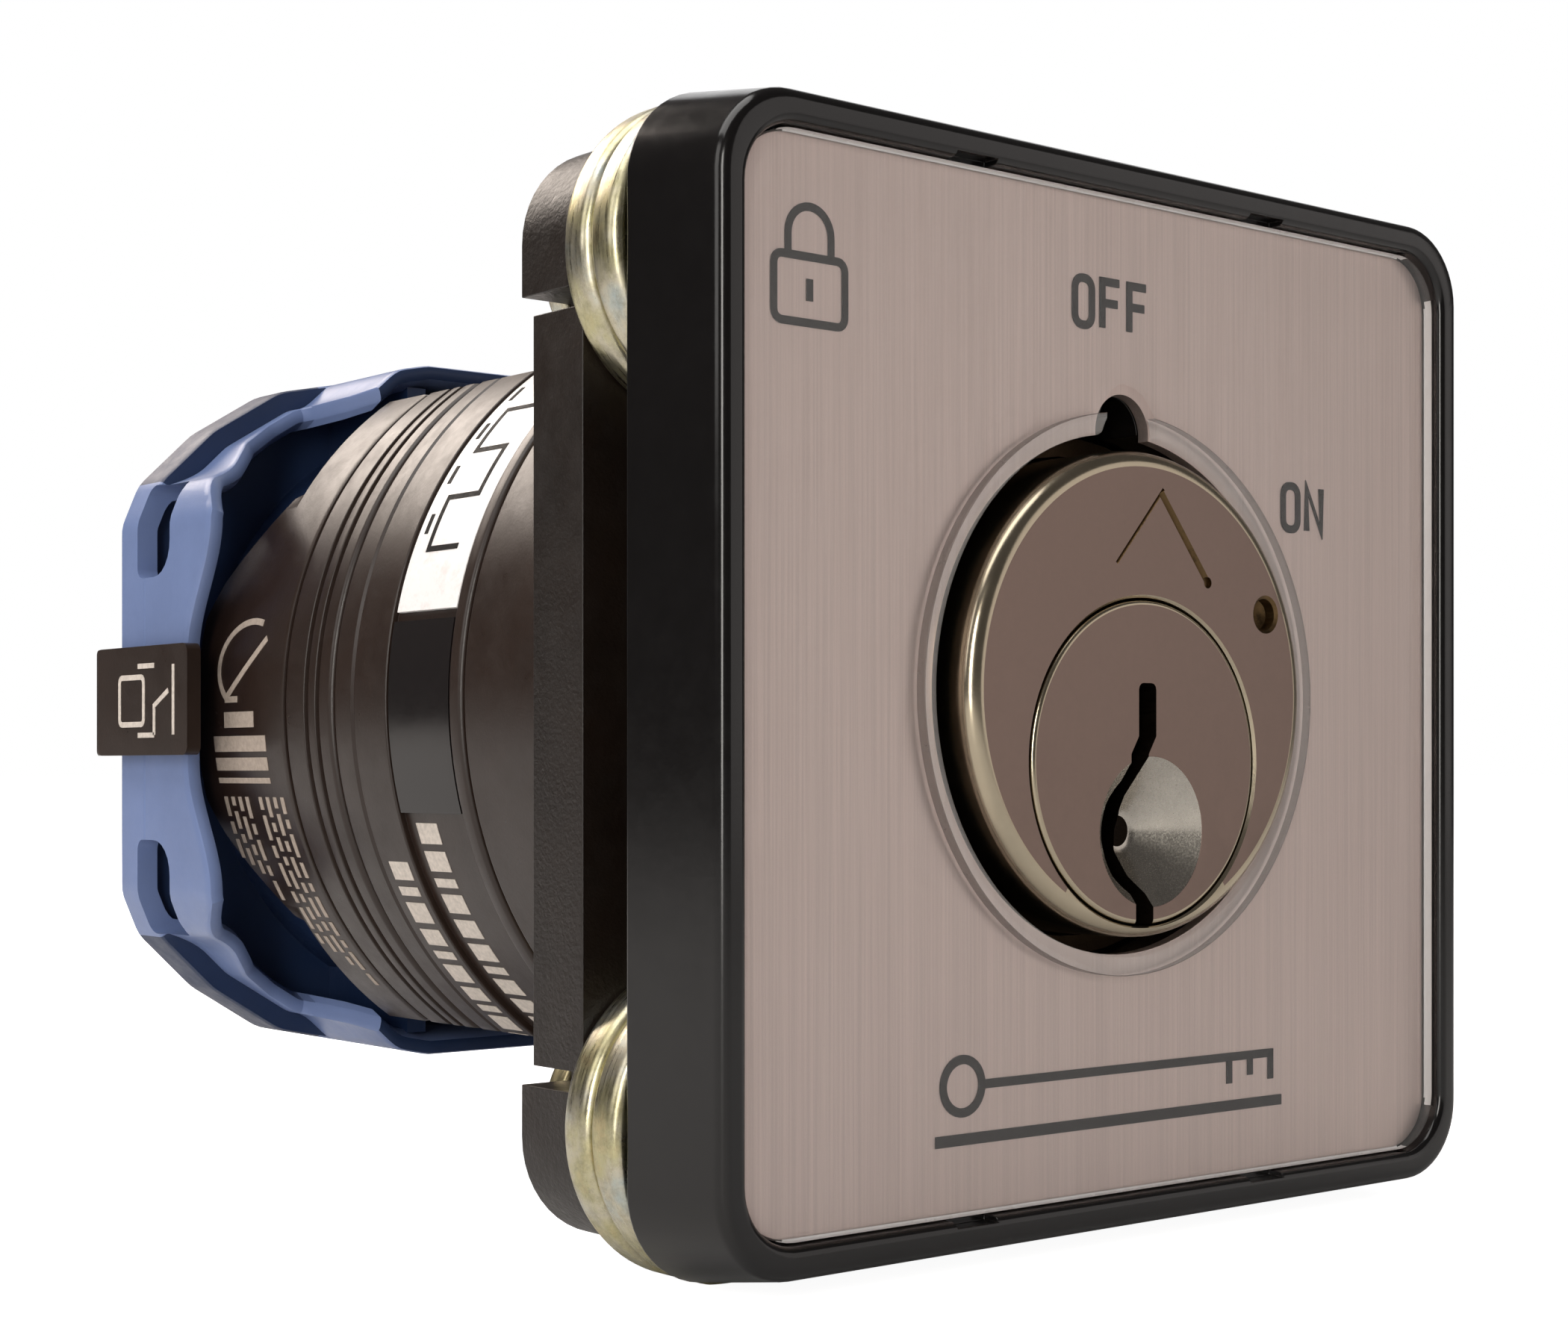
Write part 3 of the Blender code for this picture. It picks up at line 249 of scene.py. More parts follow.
def zinc_plate():
    """Zinc plating with streaks along the rim and cloudy blue, green and straw tints."""
    silver = rgb(202, 196, 176)
    surface = Surface("zinc_plate", silver, 0.3, 1.0)
    streaks = surface.noise(0.16, (14, 1, 14), detail=4.0, rough=0.7)
    tint = surface.noise(3.2, detail=4.0)
    spangle = surface.noise(0.7, detail=6.0, rough=0.8)
    tone = surface.ramp(tint, (
        (0.3, rgb(178, 190, 190)), (0.45, silver), (0.58, rgb(194, 188, 150)), (0.7, rgb(206, 188, 146)),
    ))
    dull = surface.spread(spangle, 0.0, 0.55, 0.45, 0.7)
    surface.paint(surface.mix(dull, tone, rgb(122, 114, 92)), surface.spread(streaks, 0.2, 0.46))
    surface.bump((streaks, 0.02, 0.5), (spangle, 0.015, 0.3))
    return surface.material


def satin_nickel(name, colour, roughness):
    """Satin plate: a fine even grain with faint vertical brushing and handling marks."""
    surface = Surface(name, colour, roughness, 1.0)
    grain = surface.noise(0.07, (1, 1, 3), detail=2.0)
    brush = surface.noise(0.22, (1, 1, 30), detail=3.0)
    handling = surface.noise(4.0, detail=6.0, rough=0.75)
    gloss = surface.spread(handling, roughness * 0.85, roughness * 1.2)
    surface.paint(surface.tones(handling, 0.9, 1.06), gloss)
    surface.bump((grain, 0.003, 0.5), (brush, 0.003, 0.25))
    return surface.material


def label_foil():
    """Silver-white printed foil, faintly rippled, browner where it has rubbed."""
    white = rgb(250, 248, 247)
    surface = Surface("label_foil", white, 0.3)
    ripple = surface.noise(2.2, detail=3.0)
    rub = surface.spread(surface.noise(1.1, detail=6.0, rough=0.75), 0.0, 0.5, 0.5, 0.75)
    surface.paint(surface.mix(rub, white, rgb(205, 184, 178)), surface.spread(ripple, 0.2, 0.4))
    surface.bump((ripple, 0.05, 0.3))
    return surface.material


def ink(name, colour):
    """Screen-printed ink: slightly uneven cover."""
    surface = Surface(name, colour, 0.6, Specular_IOR_Level=0.2)
    cover = surface.noise(0.25, detail=4.0)
    surface.paint(surface.tones(cover, 0.8, 1.1), surface.spread(cover, 0.5, 0.7))
    return surface.material


def clear_acrylic(name, alpha, roughness=0.05):
    """Clear plate with faint wiping marks."""
    surface = Surface(name, rgb(250, 248, 246), roughness, Alpha=alpha)
    wipe = surface.noise(5.0, (1, 1, 4), detail=5.0)
    surface.paint(
        surface.ramp(wipe, ((0.3, rgb(244, 240, 238)), (0.7, rgb(255, 253, 252)))),
        surface.spread(wipe, roughness * 0.7, roughness * 1.6),
    )
    return surface.material


bezel_black = moulded("bezel_black", rgb(12, 10, 10), 0.16, grain=0.5, depth=0.002, contrast=0.1)
body_black = moulded("body_black", rgb(40, 28, 22), 0.33, grain=0.15, depth=0.008, contrast=0.14)
gloss_film = moulded("gloss_film", rgb(26, 22, 22), 0.16, grain=0.6, depth=0.004, contrast=0.1)
plate_black = moulded("plate_black", rgb(26, 18, 13), 0.4, grain=0.25, depth=0.06, contrast=0.3)
shroud_blue = moulded("shroud_blue", rgb(114, 132, 176), 0.36, grain=0.2, depth=0.01, contrast=0.07)
# the shroud's blue made darker: painted shade on its set-in diagonals, the lip's front faces and its core
shroud_painted_shade = moulded("shroud_painted_shade", rgb(28, 46, 80), 0.45, grain=0.2, depth=0.01, contrast=0.08)
pale_nylon = moulded("pale_nylon", rgb(222, 216, 196), 0.45)
cam_resin = moulded("cam_resin", rgb(140, 62, 44), 0.4)
nickel_face = satin_nickel("nickel_face", rgb(136, 117, 108), 0.34)
# polished nickel for the turned edges; its lighter, golden tone is a painted reflection
polished_nickel_painted_reflection = satin_nickel("polished_nickel_painted_reflection", rgb(184, 172, 150), 0.2)
nickel_dish = machined("nickel_dish", rgb(190, 184, 174), 0.24, depth=0.001)
brass = machined("brass", rgb(196, 158, 96), 0.28, (1, 6, 1), tarnish=rgb(110, 82, 44))
# the lock sleeve's brass made dark: painted shade in the well round the barrel
sleeve_brass_painted_shade = machined("sleeve_brass_painted_shade", rgb(60, 48, 36), 0.5, (1, 6, 1))
# near-black metal: painted shade inside the plug's keyway
keyway_painted_shade = machined("keyway_painted_shade", rgb(30, 24, 19), 0.6, (1, 6, 1))
# brass under the plating, darkened as painted shade in the cuts into the barrel; the tarnish spots are
# its own
cut_brass_painted_shade = machined("cut_brass_painted_shade", rgb(104, 84, 58), 0.4, (1, 6, 1), tarnish=rgb(40, 32, 26))
copper = machined("copper", rgb(190, 124, 88), 0.3, (1, 6, 1), tarnish=rgb(92, 60, 44))
steel = machined("steel", rgb(176, 176, 178), 0.28, (1, 6, 1))
spring_wire = machined("spring_wire", rgb(168, 168, 170), 0.22)
zinc = zinc_plate()
legend_metal = brushed_legend()
foil = label_foil()
black_ink = ink("black_ink", rgb(9, 7, 7))
white_ink = ink("white_ink", rgb(214, 204, 194))
pale_ink = ink("pale_ink", rgb(176, 162, 150))
window_clear = clear_acrylic("window_clear", 0.05)
# painted light: a whiter, less clear copy of the plate for the light its edges gather
window_edge_painted_light = clear_acrylic("window_edge_painted_light", 0.7, 0.25)
# the bead round the opening: whitish clear as painted light, and a darker ring of painted shade at its
# edge
ring_clear_painted_light = clear_acrylic("ring_clear_painted_light", 0.16, 0.06)
ring_painted_shade = moulded("ring_painted_shade", rgb(92, 78, 72), 0.3, Alpha=0.75)


# ---- Mesh helpers ----------------------------------------------------------------------------


def new_object(name, bm, *materials, recalculate=True):
    if recalculate:
        bmesh.ops.recalc_face_normals(bm, faces=bm.faces)
    mesh = bpy.data.meshes.new(name)
    bm.to_mesh(mesh)
    bm.free()
    mesh.transform(Matrix.Scale(MM, 4))
    for material in materials:
        mesh.materials.append(material)
    obj = bpy.data.objects.new(name, mesh)
    bpy.context.scene.collection.objects.link(obj)
    return obj


def smooth(obj, crease=CREASE):
    """Smooth shading with sharp creases, and normals that keep flat faces flat."""
    obj.data.shade_smooth()
    obj.data.set_sharp_from_angle(angle=crease)
    normals = obj.modifiers.new("flat_faces", "WEIGHTED_NORMAL")
    normals.keep_sharp = True
    return obj


def combine(obj, others, operation):
    """Applies a Boolean with each of others, and removes them."""
    for other in others:
        modifier = obj.modifiers.new(other.name, "BOOLEAN")
        modifier.operation = operation
        modifier.solver = "EXACT"
        modifier.object = other
    graph = bpy.context.evaluated_depsgraph_get()
    result = bpy.data.meshes.new_from_object(obj.evaluated_get(graph))
    obj.modifiers.clear()
    old, obj.data = obj.data, result
    result.name = obj.name
    bpy.data.meshes.remove(old)
    for other in others:
        bpy.data.objects.remove(other)
    return obj


def cut(obj, *cutters):
    return combine(obj, cutters, "DIFFERENCE")


def join(obj, *additions):
    return combine(obj, additions, "UNION")


def rounded_edges(obj, width, segments=2, limit=SHARP):
    bevel = obj.modifiers.new("rounded_edges", "BEVEL")
    bevel.width = width * MM
    bevel.segments = segments
    bevel.limit_method = "ANGLE"
    bevel.angle_limit = limit
    bevel.use_clamp_overlap = True
    return obj


def paint_faces(obj, index, test):
    """Gives material index to the faces whose centre, in millimetres, passes the test."""
    for polygon in obj.data.polygons:
        if test(polygon.center / MM, polygon):
            polygon.material_index = index


def add(obj, body, slot, *nodes, edge=0.0):
    """Puts a finished piece on its CAD body, in place of the nodes it stands for."""
    if edge:
        rounded_edges(obj, edge)
    smooth(obj)
    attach(obj, body)
    if nodes:
        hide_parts(*nodes)
    return obj


def arc(radius, start, end, steps, centre=(0.0, 0.0)):
    """Points on an arc, from start to end in degrees."""
    points = []
    for k in range(steps + 1):
        angle = math.radians(start + (end - start) * k / steps)
        points.append((centre[0] + radius * math.cos(angle), centre[1] + radius * math.sin(angle)))
    return points


def rounded_square(half, radius, steps=12):
    inner = half - radius
    points = []
    for sx, sz, start in ((1, 1, 0), (-1, 1, 90), (-1, -1, 180), (1, -1, 270)):
        points += arc(radius, start, start + 90, steps, (sx * inner, sz * inner))
    return points


def filleted(points, radius, steps=6, closed=True):
    """points with each corner rounded; a corner may carry its own radius as a third value."""
    result = []
    count = len(points)
    for k, point in enumerate(points):
        own = point[2] if len(point) > 2 else radius
        here = Vector(point[:2])
        if own <= 0 or (not closed and k in (0, count - 1)):
            result.append(tuple(here))
            continue
        before = Vector(points[k - 1][:2]) - here
        after = Vector(points[(k + 1) % count][:2]) - here
        half_angle = before.angle(after) / 2
        if half_angle > math.radians(89):
            result.append(tuple(here))
            continue
        reach = min(own / math.tan(half_angle), before.length * 0.49, after.length * 0.49)
        actual = reach * math.tan(half_angle)
        centre = here + (before.normalized() + after.normalized()).normalized() * (
            actual / math.sin(half_angle)
        )
        start = here + before.normalized() * reach - centre
        end = here + after.normalized() * reach - centre
        sweep = start.angle(end)
        sign = 1 if start.x * end.y - start.y * end.x > 0 else -1
        for s in range(steps + 1):
            t = sign * sweep * s / steps
            turned = Vector((
                start.x * math.cos(t) - start.y * math.sin(t),
                start.x * math.sin(t) + start.y * math.cos(t),
            ))
            result.append(tuple(centre + turned))
    return result


def lathe(name, profile, *materials, centre=(0.0, 0.0), segments=ROUND):
    """Turns a closed profile of (radius, y) about an axis parallel to Y through centre."""
    bm = bmesh.new()
    rings = []
    for radius, y in profile:
        if radius < 1e-6:
            rings.append([bm.verts.new((centre[0], y, centre[1]))])
            continue
        ring = []
        for k in range(segments):
            angle = 2 * math.pi * (k + 0.5) / segments
            ring.append(bm.verts.new((
                centre[0] + radius * math.cos(angle), y, centre[1] + radius * math.sin(angle)
            )))
        rings.append(ring)
    for first, second in zip(rings, rings[1:] + rings[:1]):
        bridge(bm, first, second)
    return new_object(name, bm, *materials)


def bridge(bm, first, second):
    """Faces between two rings of vertices, either of which may be a single point."""
    count = max(len(first), len(second))
    for k in range(count):
        n = (k + 1) % count
        if len(first) == 1 and len(second) == 1:
            return
        if len(first) == 1:
            bm.faces.new((first[0], second[k], second[n]))
        elif len(second) == 1:
            bm.faces.new((first[k], first[n], second[0]))
        else:
            bm.faces.new((first[k], first[n], second[n], second[k]))


def loft(name, rings, *materials, capped=True):
    """Skins rings of 3-D points, which all have the same count; capped, or closed into a torus."""
    bm = bmesh.new()
    made = [[bm.verts.new(point) for point in ring] for ring in rings]
    pairs = list(zip(made, made[1:]))
    if capped:
        bm.faces.new(made[0])
        bm.faces.new(made[-1])
    else:
        pairs.append((made[-1], made[0]))
    for first, second in pairs:
        bridge(bm, first, second)
    return new_object(name, bm, *materials)


def prism(name, outline, y0, y1, *materials, turn=0.0):
    rotation = Matrix.Rotation(math.radians(turn), 3, "Y")
    rings = [[rotation @ Vector((x, y, z)) for x, z in outline] for y in (y0, y1)]
    return loft(name, rings, *materials)


def box(name, xs, ys, zs, *materials, turn=0.0):
    """A box between two values, in either order, along each of X, Y and Z."""
    xs, zs = sorted(xs), sorted(zs)
    outline = [(xs[0], zs[0]), (xs[1], zs[0]), (xs[1], zs[1]), (xs[0], zs[1])]
    return prism(name, outline, *ys, *materials, turn=turn)


def disc(name, radius, y0, y1, *materials, centre=(0.0, 0.0), segments=ROUND):
    profile = [(0, y0), (radius, y0), (radius, y1), (0, y1)]
    return lathe(name, profile, *materials, centre=centre, segments=segments)


def hole(name, radius, y0, y1, centre):
    """Cutter of a small round hole."""
    return disc(name, radius, y0, y1, centre=centre, segments=SMALL_ROUND)


def square_ring(half, radius, y):
    return [(x, y, z) for x, z in rounded_square(half, radius)]


def corners():
    """The four corners in the order of the frame's screws and washers."""
    return [axis_of(f"washer_front_{k}") for k in range(1, 5)]


def ribbon(bm, points, width, place, thickness, closed=False):
    """A flat band of even width along points, with mitred corners, raised by thickness."""
    count = len(points)
    flat = [Vector(p) for p in points]
    sections = []
    for k, here in enumerate(flat):
        before = flat[k - 1] if k or closed else None
        after = flat[(k + 1) % count] if k < count - 1 or closed else None
        directions = []
        if before is not None:
            directions.append((here - before).normalized())
        if after is not None:
            directions.append((after - here).normalized())
        along = sum(directions, Vector((0.0, 0.0))).normalized()
        across = Vector((-along.y, along.x))
        stretch = 1 / max(0.5, across.dot(Vector((-directions[0].y, directions[0].x))))
        offset = across * (width / 2 * stretch)
        left, right = here + offset, here - offset
        sections.append([
            bm.verts.new(place(*left, 0.0)), bm.verts.new(place(*right, 0.0)),
            bm.verts.new(place(*right, thickness)), bm.verts.new(place(*left, thickness)),
        ])
    pairs = list(zip(sections, sections[1:]))
    if closed:
        pairs.append((sections[-1], sections[0]))
    else:
        bm.faces.new(sections[0])
        bm.faces.new(reversed(sections[-1]))
    for first, second in pairs:
        bridge(bm, first, second)


def stepped(points, step=0.5):
    """points with long runs split, so that a band can follow a curved surface."""
    result = [points[0]]
    for start, end in zip(points, points[1:]):
        parts = max(1, math.ceil((Vector(end) - Vector(start)).length / step))
        for k in range(1, parts + 1):
            result.append(tuple(Vector(start).lerp(Vector(end), k / parts)))
    return result


def line(start, end, width, step=0.5):
    """A straight band, split to follow a curved surface."""
    return (stepped([start, end], step), width, False)


def strokes(name, bands, place, material, thickness=0.04):
    """One object from bands of (points, width, closed)."""
    bm = bmesh.new()
    for points, width, closed in bands:
        ribbon(bm, points, width, place, thickness, closed)
    return new_object(name, bm, material)


# ---- Front: bezel, window, legend plate ------------------------------------------------------


def fillet_rings(half, corner, y, radius, quarter, steps=6):
    """Square rings round a filleted edge: "front" turns from the face y to the side."""
    rings = []
    for k in range(steps + 1):
        t = math.radians(90 * k / steps)
        if quarter == "front":
            inset, depth = radius * (1 - math.sin(t)), radius * (1 - math.cos(t))
            rings.append(square_ring(half - inset, corner - inset, y + depth))
        else:
            inset, depth = radius * (1 - math.cos(t)), radius * (1 - math.sin(t))
            rings.append(square_ring(half - inset, corner - inset, y - depth))
    return rings


def notch(name, y0, y1, grow=0.0):
    """Cutter of the index notch at the top of the lock opening."""
    return hole(name, NOTCH + grow, y0, y1, (0, NOTCH_Z))


def tie_hole(name, side, y0, y1, radius=1.5):
    """Cutter of a tie bolt's hole; side is -1 at the bottom and 1 at the top."""
    return hole(name, radius, y0, y1, (0, side * TIE_Z))


def make_bezel():
    floor = LEGEND_HIGH.y + 0.1
    recess_half, lip_round = WINDOW_HALF + 0.1, 0.42
    rings = [square_ring(recess_half, WINDOW_CORNER, floor)]
    for k in range(7):
        t = math.radians(90 * k / 6)
        grow = lip_round * (1 - math.cos(t))
        rings.append(square_ring(
            recess_half + grow, WINDOW_CORNER + grow,
            BEZEL_FRONT + lip_round * (1 - math.sin(t)),
        ))
    rings += fillet_rings(BEZEL_FRONT_HALF, 3.75, BEZEL_FRONT, 0.55, "front")
    rings += fillet_rings(BEZEL_REAR_HALF, 4.2, BEZEL_BACK, 0.3, "rear", 4)
    bezel = loft("bezel_frame", rings, bezel_black)
    cutters = [
        disc("bezel_hole", LOCK_HOLE, floor - 1, 1),
        notch("bezel_notch", floor - 1, 1),
    ]
    for k in range(4):
        cutters.append(box(f"bezel_pocket_{k}", (-10.6, 10.6), (-1.6, 1), (15.6, 22.7), turn=90 * k))
    for k, centre in enumerate(corners()):
        cutters.append(hole(f"bezel_pilot_{k}", 1.85, -2.9, 1, centre))
    for s in SIDES:
        for x in (-10.0, 9.0):
            cutters.append(box(f"bezel_clip_{s}_{x:.0f}", (x - 1.2, x + 1.2),
                               (BEZEL_FRONT - 1, WINDOW_LOW.y + 0.5), (s * 22.0, s * 22.85)))
    add(cut(bezel, *cutters), "housing", "bezel_black", "bezel", edge=0.12)


def make_window():
    half, corner = WINDOW_HALF, WINDOW_CORNER
    rings = fillet_rings(half, corner, WINDOW_LOW.y, 0.15, "front", 3)
    rings += fillet_rings(half, corner, WINDOW_HIGH.y, 0.1, "rear", 2)
    window = loft("window_plate", rings, window_clear, window_edge_painted_light)
    through = (WINDOW_LOW.y - 1, WINDOW_HIGH.y + 1)
    cut(window, disc("window_opening", RING - 0.05, *through), notch("window_notch", *through, 0.45))
    # painted light on the plate's edges
    paint_faces(window, 1, lambda c, p: max(abs(c.x), abs(c.z)) > half - 0.12
                and c.y > WINDOW_LOW.y + 0.05)
    add(window, "housing", "clear_window", "clear_window")
    # the bevelled bead round the opening: its whitish tint is painted light and its darker outer edge a
    # painted shade line
    profile = filleted([
        (RING, WINDOW_LOW.y + 0.02, 0.06), (RING - 0.25, WINDOW_LOW.y - 0.06, 0.08),
        (OPENING + 0.1, WINDOW_LOW.y + 0.2, 0.1), (OPENING, WINDOW_HIGH.y, 0), (RING, WINDOW_HIGH.y, 0),
    ], 0, 4)
    bead = lathe("window_bead", profile, ring_clear_painted_light, ring_painted_shade)
    # painted shade: the bead's outer edge darker
    paint_faces(bead, 1, lambda c, p: math.hypot(c.x, c.z) > RING - 0.1)
    add(cut(bead, notch("bead_gap", *through)), "housing", "clear_window")


def make_legend():
    half, corner = WINDOW_HALF, WINDOW_CORNER
    rings = [
        square_ring(half - 0.08, corner - 0.08, LEGEND_LOW.y),
        square_ring(half, corner, LEGEND_LOW.y + 0.08),
        square_ring(half, corner, LEGEND_HIGH.y),
    ]
    legend = loft("legend_sheet", rings, legend_metal)
    through = (LEGEND_LOW.y - 1, LEGEND_HIGH.y + 1)
    cut(legend, disc("legend_opening", OPENING, *through), notch("legend_notch", *through))
    add(legend, "housing", "brushed_legend", "legend_plate")


def on_legend(u, v, height):
    return (u, LEGEND_LOW.y - 0.005 - height, v)


def letter(kind, u, v, width, height):
    """Strokes of an engraved capital with its lower left corner at (u, v)."""
    right, top, middle = u + width, v + height, v + height * 0.54
    if kind == "O":
        outline = [(u, v), (right, v), (right, top), (u, top)]
        return [(filleted(outline, width * 0.42, 5), True)]
    if kind == "F":
        bar = ([(u, middle), (u + width * 0.9, middle)], False)
        return [([(u, v), (u, top), (right, top)], False), bar]
    return [([(u, v), (u, top), (right, v), (right, top)], False)]


# The dial's words and the middle of each.
DIAL_WORDS = (("OFF", (-0.75, 17.6)), ("ON", (12.8, 9.3)))


def make_legend_print():
    height, width, gap, stroke = 2.1, 1.1, 0.68, 0.38
    bands = []
    for word, (u, v) in DIAL_WORDS:
        length = len(word) * width + (len(word) - 1) * gap
        for k, kind in enumerate(word):
            start = u - length / 2 + k * (width + gap)
            for points, closed in letter(kind, start, v - height / 2, width, height):
                bands.append((points, stroke, closed))
    add(strokes("legend_words", bands, on_legend, black_ink), "housing", "brushed_legend")
    # a plain padlock at the upper left
    u, v = -18.6, 17.2
    shackle = [(u - 1.15, v + 0.3)] + arc(1.15, 180, 0, 14, (u, v + 1.2)) + [(u + 1.15, v + 0.3)]
    body = [(u - 1.9, v - 2.4), (u + 1.9, v - 2.4), (u + 1.9, v + 0.3), (u - 1.9, v + 0.3)]
    line = 0.34
    bands = [
        (shackle, line, False), (filleted(body, 0.4, 4), line, True),
        ([(u, v - 1.5), (u, v - 0.6)], line, False),
    ]
    # a plain key over a rule along the bottom
    left, right, rule, shaft = -11.6, 11.2, -19.3, -17.0
    bands += [
        ([(left, rule), (right, rule)], 0.5, False),
        (arc(1.15, 0, 350, 28, (-10.0, shaft)), 0.4, True),
        ([(-8.85, shaft), (10.6, shaft)], 0.4, False),
    ]
    for x, tooth in ((10.4, 1.25), (8.9, 0.95), (7.4, 1.25)):
        bands.append(([(x, shaft), (x, shaft - tooth)], 0.4, False))
    add(strokes("legend_marks", bands, on_legend, black_ink), "housing", "brushed_legend")


# ---- Panel fastening -------------------------------------------------------------------------


def make_washers():
    for side in ("front", "rear"):
        for k in range(1, 5):
            node = f"washer_{side}_{k}"
            low, high = span(node)
            radius = (high.x - low.x) / 2
            profile = filleted([
                (SCREW_HOLE, low.y, 0.15), (radius, low.y, 0.5), (radius, high.y, 0.55),
                (SCREW_HOLE, high.y, 0.15),
            ], 0.4, 6)
            washer = lathe(f"zinc_{node}", profile, zinc, centre=axis_of(node), segments=96)
            add(washer, "housing", "zinc", node)


def cross_recess(name, centre, top, reach, width, depth):
    x, z = centre
    first = box(f"{name}_a", (x - reach, x + reach), (top - depth, top + 1), (z - width, z + width))
    second = box(f"{name}_b", (x - width, x + width), (top - depth, top + 1), (z - reach, z + reach))
    return first, second


def make_panel_screws():
    for k, centre in enumerate(corners(), 1):
        low, high = span(f"panel_screw_{k}")
        shank, head, under = 1.7, (high.x - low.x) / 2, high.y - 2.3
        profile = [(0, low.y), (shank - 0.5, low.y), (shank, low.y + 0.5)]
        y = low.y + 0.9
        while y < under - 0.6:
            profile += [(shank, y), (shank - 0.28, y + 0.25), (shank, y + 0.5)]
            y += 0.7
        profile.append((shank, under))
        profile += filleted([
            (shank, under, 0), (head, under, 0.25), (head, high.y - 1.0, 0.5), (head - 1.6, high.y, 1.2),
            (0, high.y, 0),
        ], 0.3, 6, closed=False)[1:]
        screw = lathe(f"zinc_panel_screw_{k}", profile, zinc, centre=centre, segments=64)
        cut(screw, *cross_recess(f"recess_{k}", centre, high.y, 1.9, 0.42, 1.2))
        add(screw, "housing", "zinc", f"panel_screw_{k}", edge=0.08)


def make_mounting_plate():
    front, rear, half = PLATE_LOW.y, PLATE_HIGH.y, PLATE_HIGH.x
    step_y, edge_z, pad_from = rear - 0.9, 16.6, 13.2
    plate = prism("mounting_frame", rounded_square(half, 4.7), front, rear, plate_black)
    beyond, through = half + 2, (0, 12)
    cutters = [
        box("plate_step_x", (-beyond, beyond), (step_y, rear + 2), (-edge_z, edge_z)),
        box("plate_step_z", (-pad_from, pad_from), (step_y, rear + 2), (-beyond, beyond)),
        disc("plate_hole", LOCK_HOLE, *through),
    ]
    for sx in SIDES:
        for sz in SIDES:
            z = sz * edge_z
            cutters.append(box(f"plate_slot_{sx}_{sz}", (sx * (half - 2.6), sx * beyond), through,
                               (z - 0.45, z + 0.45)))
        cutters.append(tie_hole(f"plate_tie_{sx}", sx, PLATE_TIE_FROM, through[1], PLATE_TIE))
    for k, centre in enumerate(corners()):
        cutters.append(hole(f"plate_screw_{k}", SCREW_HOLE, *through, centre))
    cut(plate, *cutters)
    rounded_edges(plate, 0.28, 3, CREASE)
    add(plate, "housing", "plate_black", "mounting_plate")


# ---- Lock ------------------------------------------------------------------------------------


def groove(name, start, end, width, depth, face):
    """A V-shaped cutter along a line in the plane y = face."""
    a, b = Vector(start), Vector(end)
    along = (b - a).normalized()
    across = Vector((-along.y, along.x)) * width / 2
    rings = []
    for point in (a, b):
        rings.append([
            (point.x + across.x, face - 0.05, point.y + across.y),
            (point.x, face + depth, point.y),
            (point.x - across.x, face - 0.05, point.y - across.y),
        ])
    return loft(name, rings)


def make_barrel():
    front, rear = BARREL_LOW.y, BARREL_HIGH.y
    bore = PLUG + 0.1
    profile = filleted([
        (0, front, 0), (BARREL, front, 0.75), (BARREL, rear, 0.3), (0, rear, 0),
    ], 0.4, 8)
    barrel = lathe("barrel_shell", profile, nickel_face, polished_nickel_painted_reflection, cut_brass_painted_shade, segments=FINE_ROUND)
    bore_end = 15.0
    bore_cutter = lathe("barrel_bore", [
        (0, front - 1), (bore + 1.12, front - 1), (bore, front + 0.12), (bore, bore_end), (0, bore_end),
    ], centre=(0, PLUG_Z))
    dimple = lathe("barrel_dimple", [
        (0, front - 1), (0.9, front - 1), (0.9, front), (0.75, front + 0.12), (0.7, front + 0.6),
        (0, front + 1.0),
    ], centre=(8.2, 3.9), segments=SMALL_ROUND)
    apex, left_foot, right_foot = (1.1, 9.3), (-2.0, 5.8), (4.1, 5.2)
    cutters = [
        bore_cutter, dimple,
        groove("arrow_left", apex, left_foot, 0.24, 0.12, front),
        groove("arrow_right", (0.95, 9.1), right_foot, 0.46, 0.2, front),
        disc("arrow_end", 0.26, front - 1, front + 0.18, centre=right_foot, segments=24),
        box("barrel_bolt", (-6.5, 12), (bore_end - 0.1, rear + 1), (-5.32, -0.82)),
        box("barrel_cover", (-1.8, 1.8), (0.0, 12.6), (9.9, 12)),
    ]
    for sx in SIDES:
        cutters.append(box(f"barrel_dog_{sx}", (sx * 4.2, sx * 8.2), (rear - 1.8, rear + 1),
                           (4.5, 7.5)))
    for k, y in enumerate(PIN_YS):
        cutters.append(upright(f"barrel_pin_{k}", PIN_BORE, y, 3, 12))
    cut(barrel, *cutters)
    # 0 is the face, 1 the turned edges and 2 the cuts into the face, their brass darkened as painted
    # shade
    # the turned edges and the bore's chamfer take the polished nickel with its painted reflection
    paint_faces(barrel, 1, lambda c, p: math.hypot(c.x, c.z) > BARREL - 0.72)
    paint_faces(barrel, 2, lambda c, p: math.hypot(c.x, c.z) < BARREL - 0.76 and c.y > front + 0.01)
    paint_faces(barrel, 1, lambda c, p: abs(math.hypot(c.x, c.z - PLUG_Z) - bore - 0.1) < 0.12
               and c.y < front + 0.21)
    add(barrel, "rotor", "satin_nickel", "lock_barrel")


def upright(name, radius, y, z0, z1):
    """A rod along Z, for the pin bores."""
    rings = []
    for z in (z0, z1):
        rings.append([(x, y + dy, z) for x, dy in arc(radius, 0, 337.5, 15)])
    return loft(name, rings)


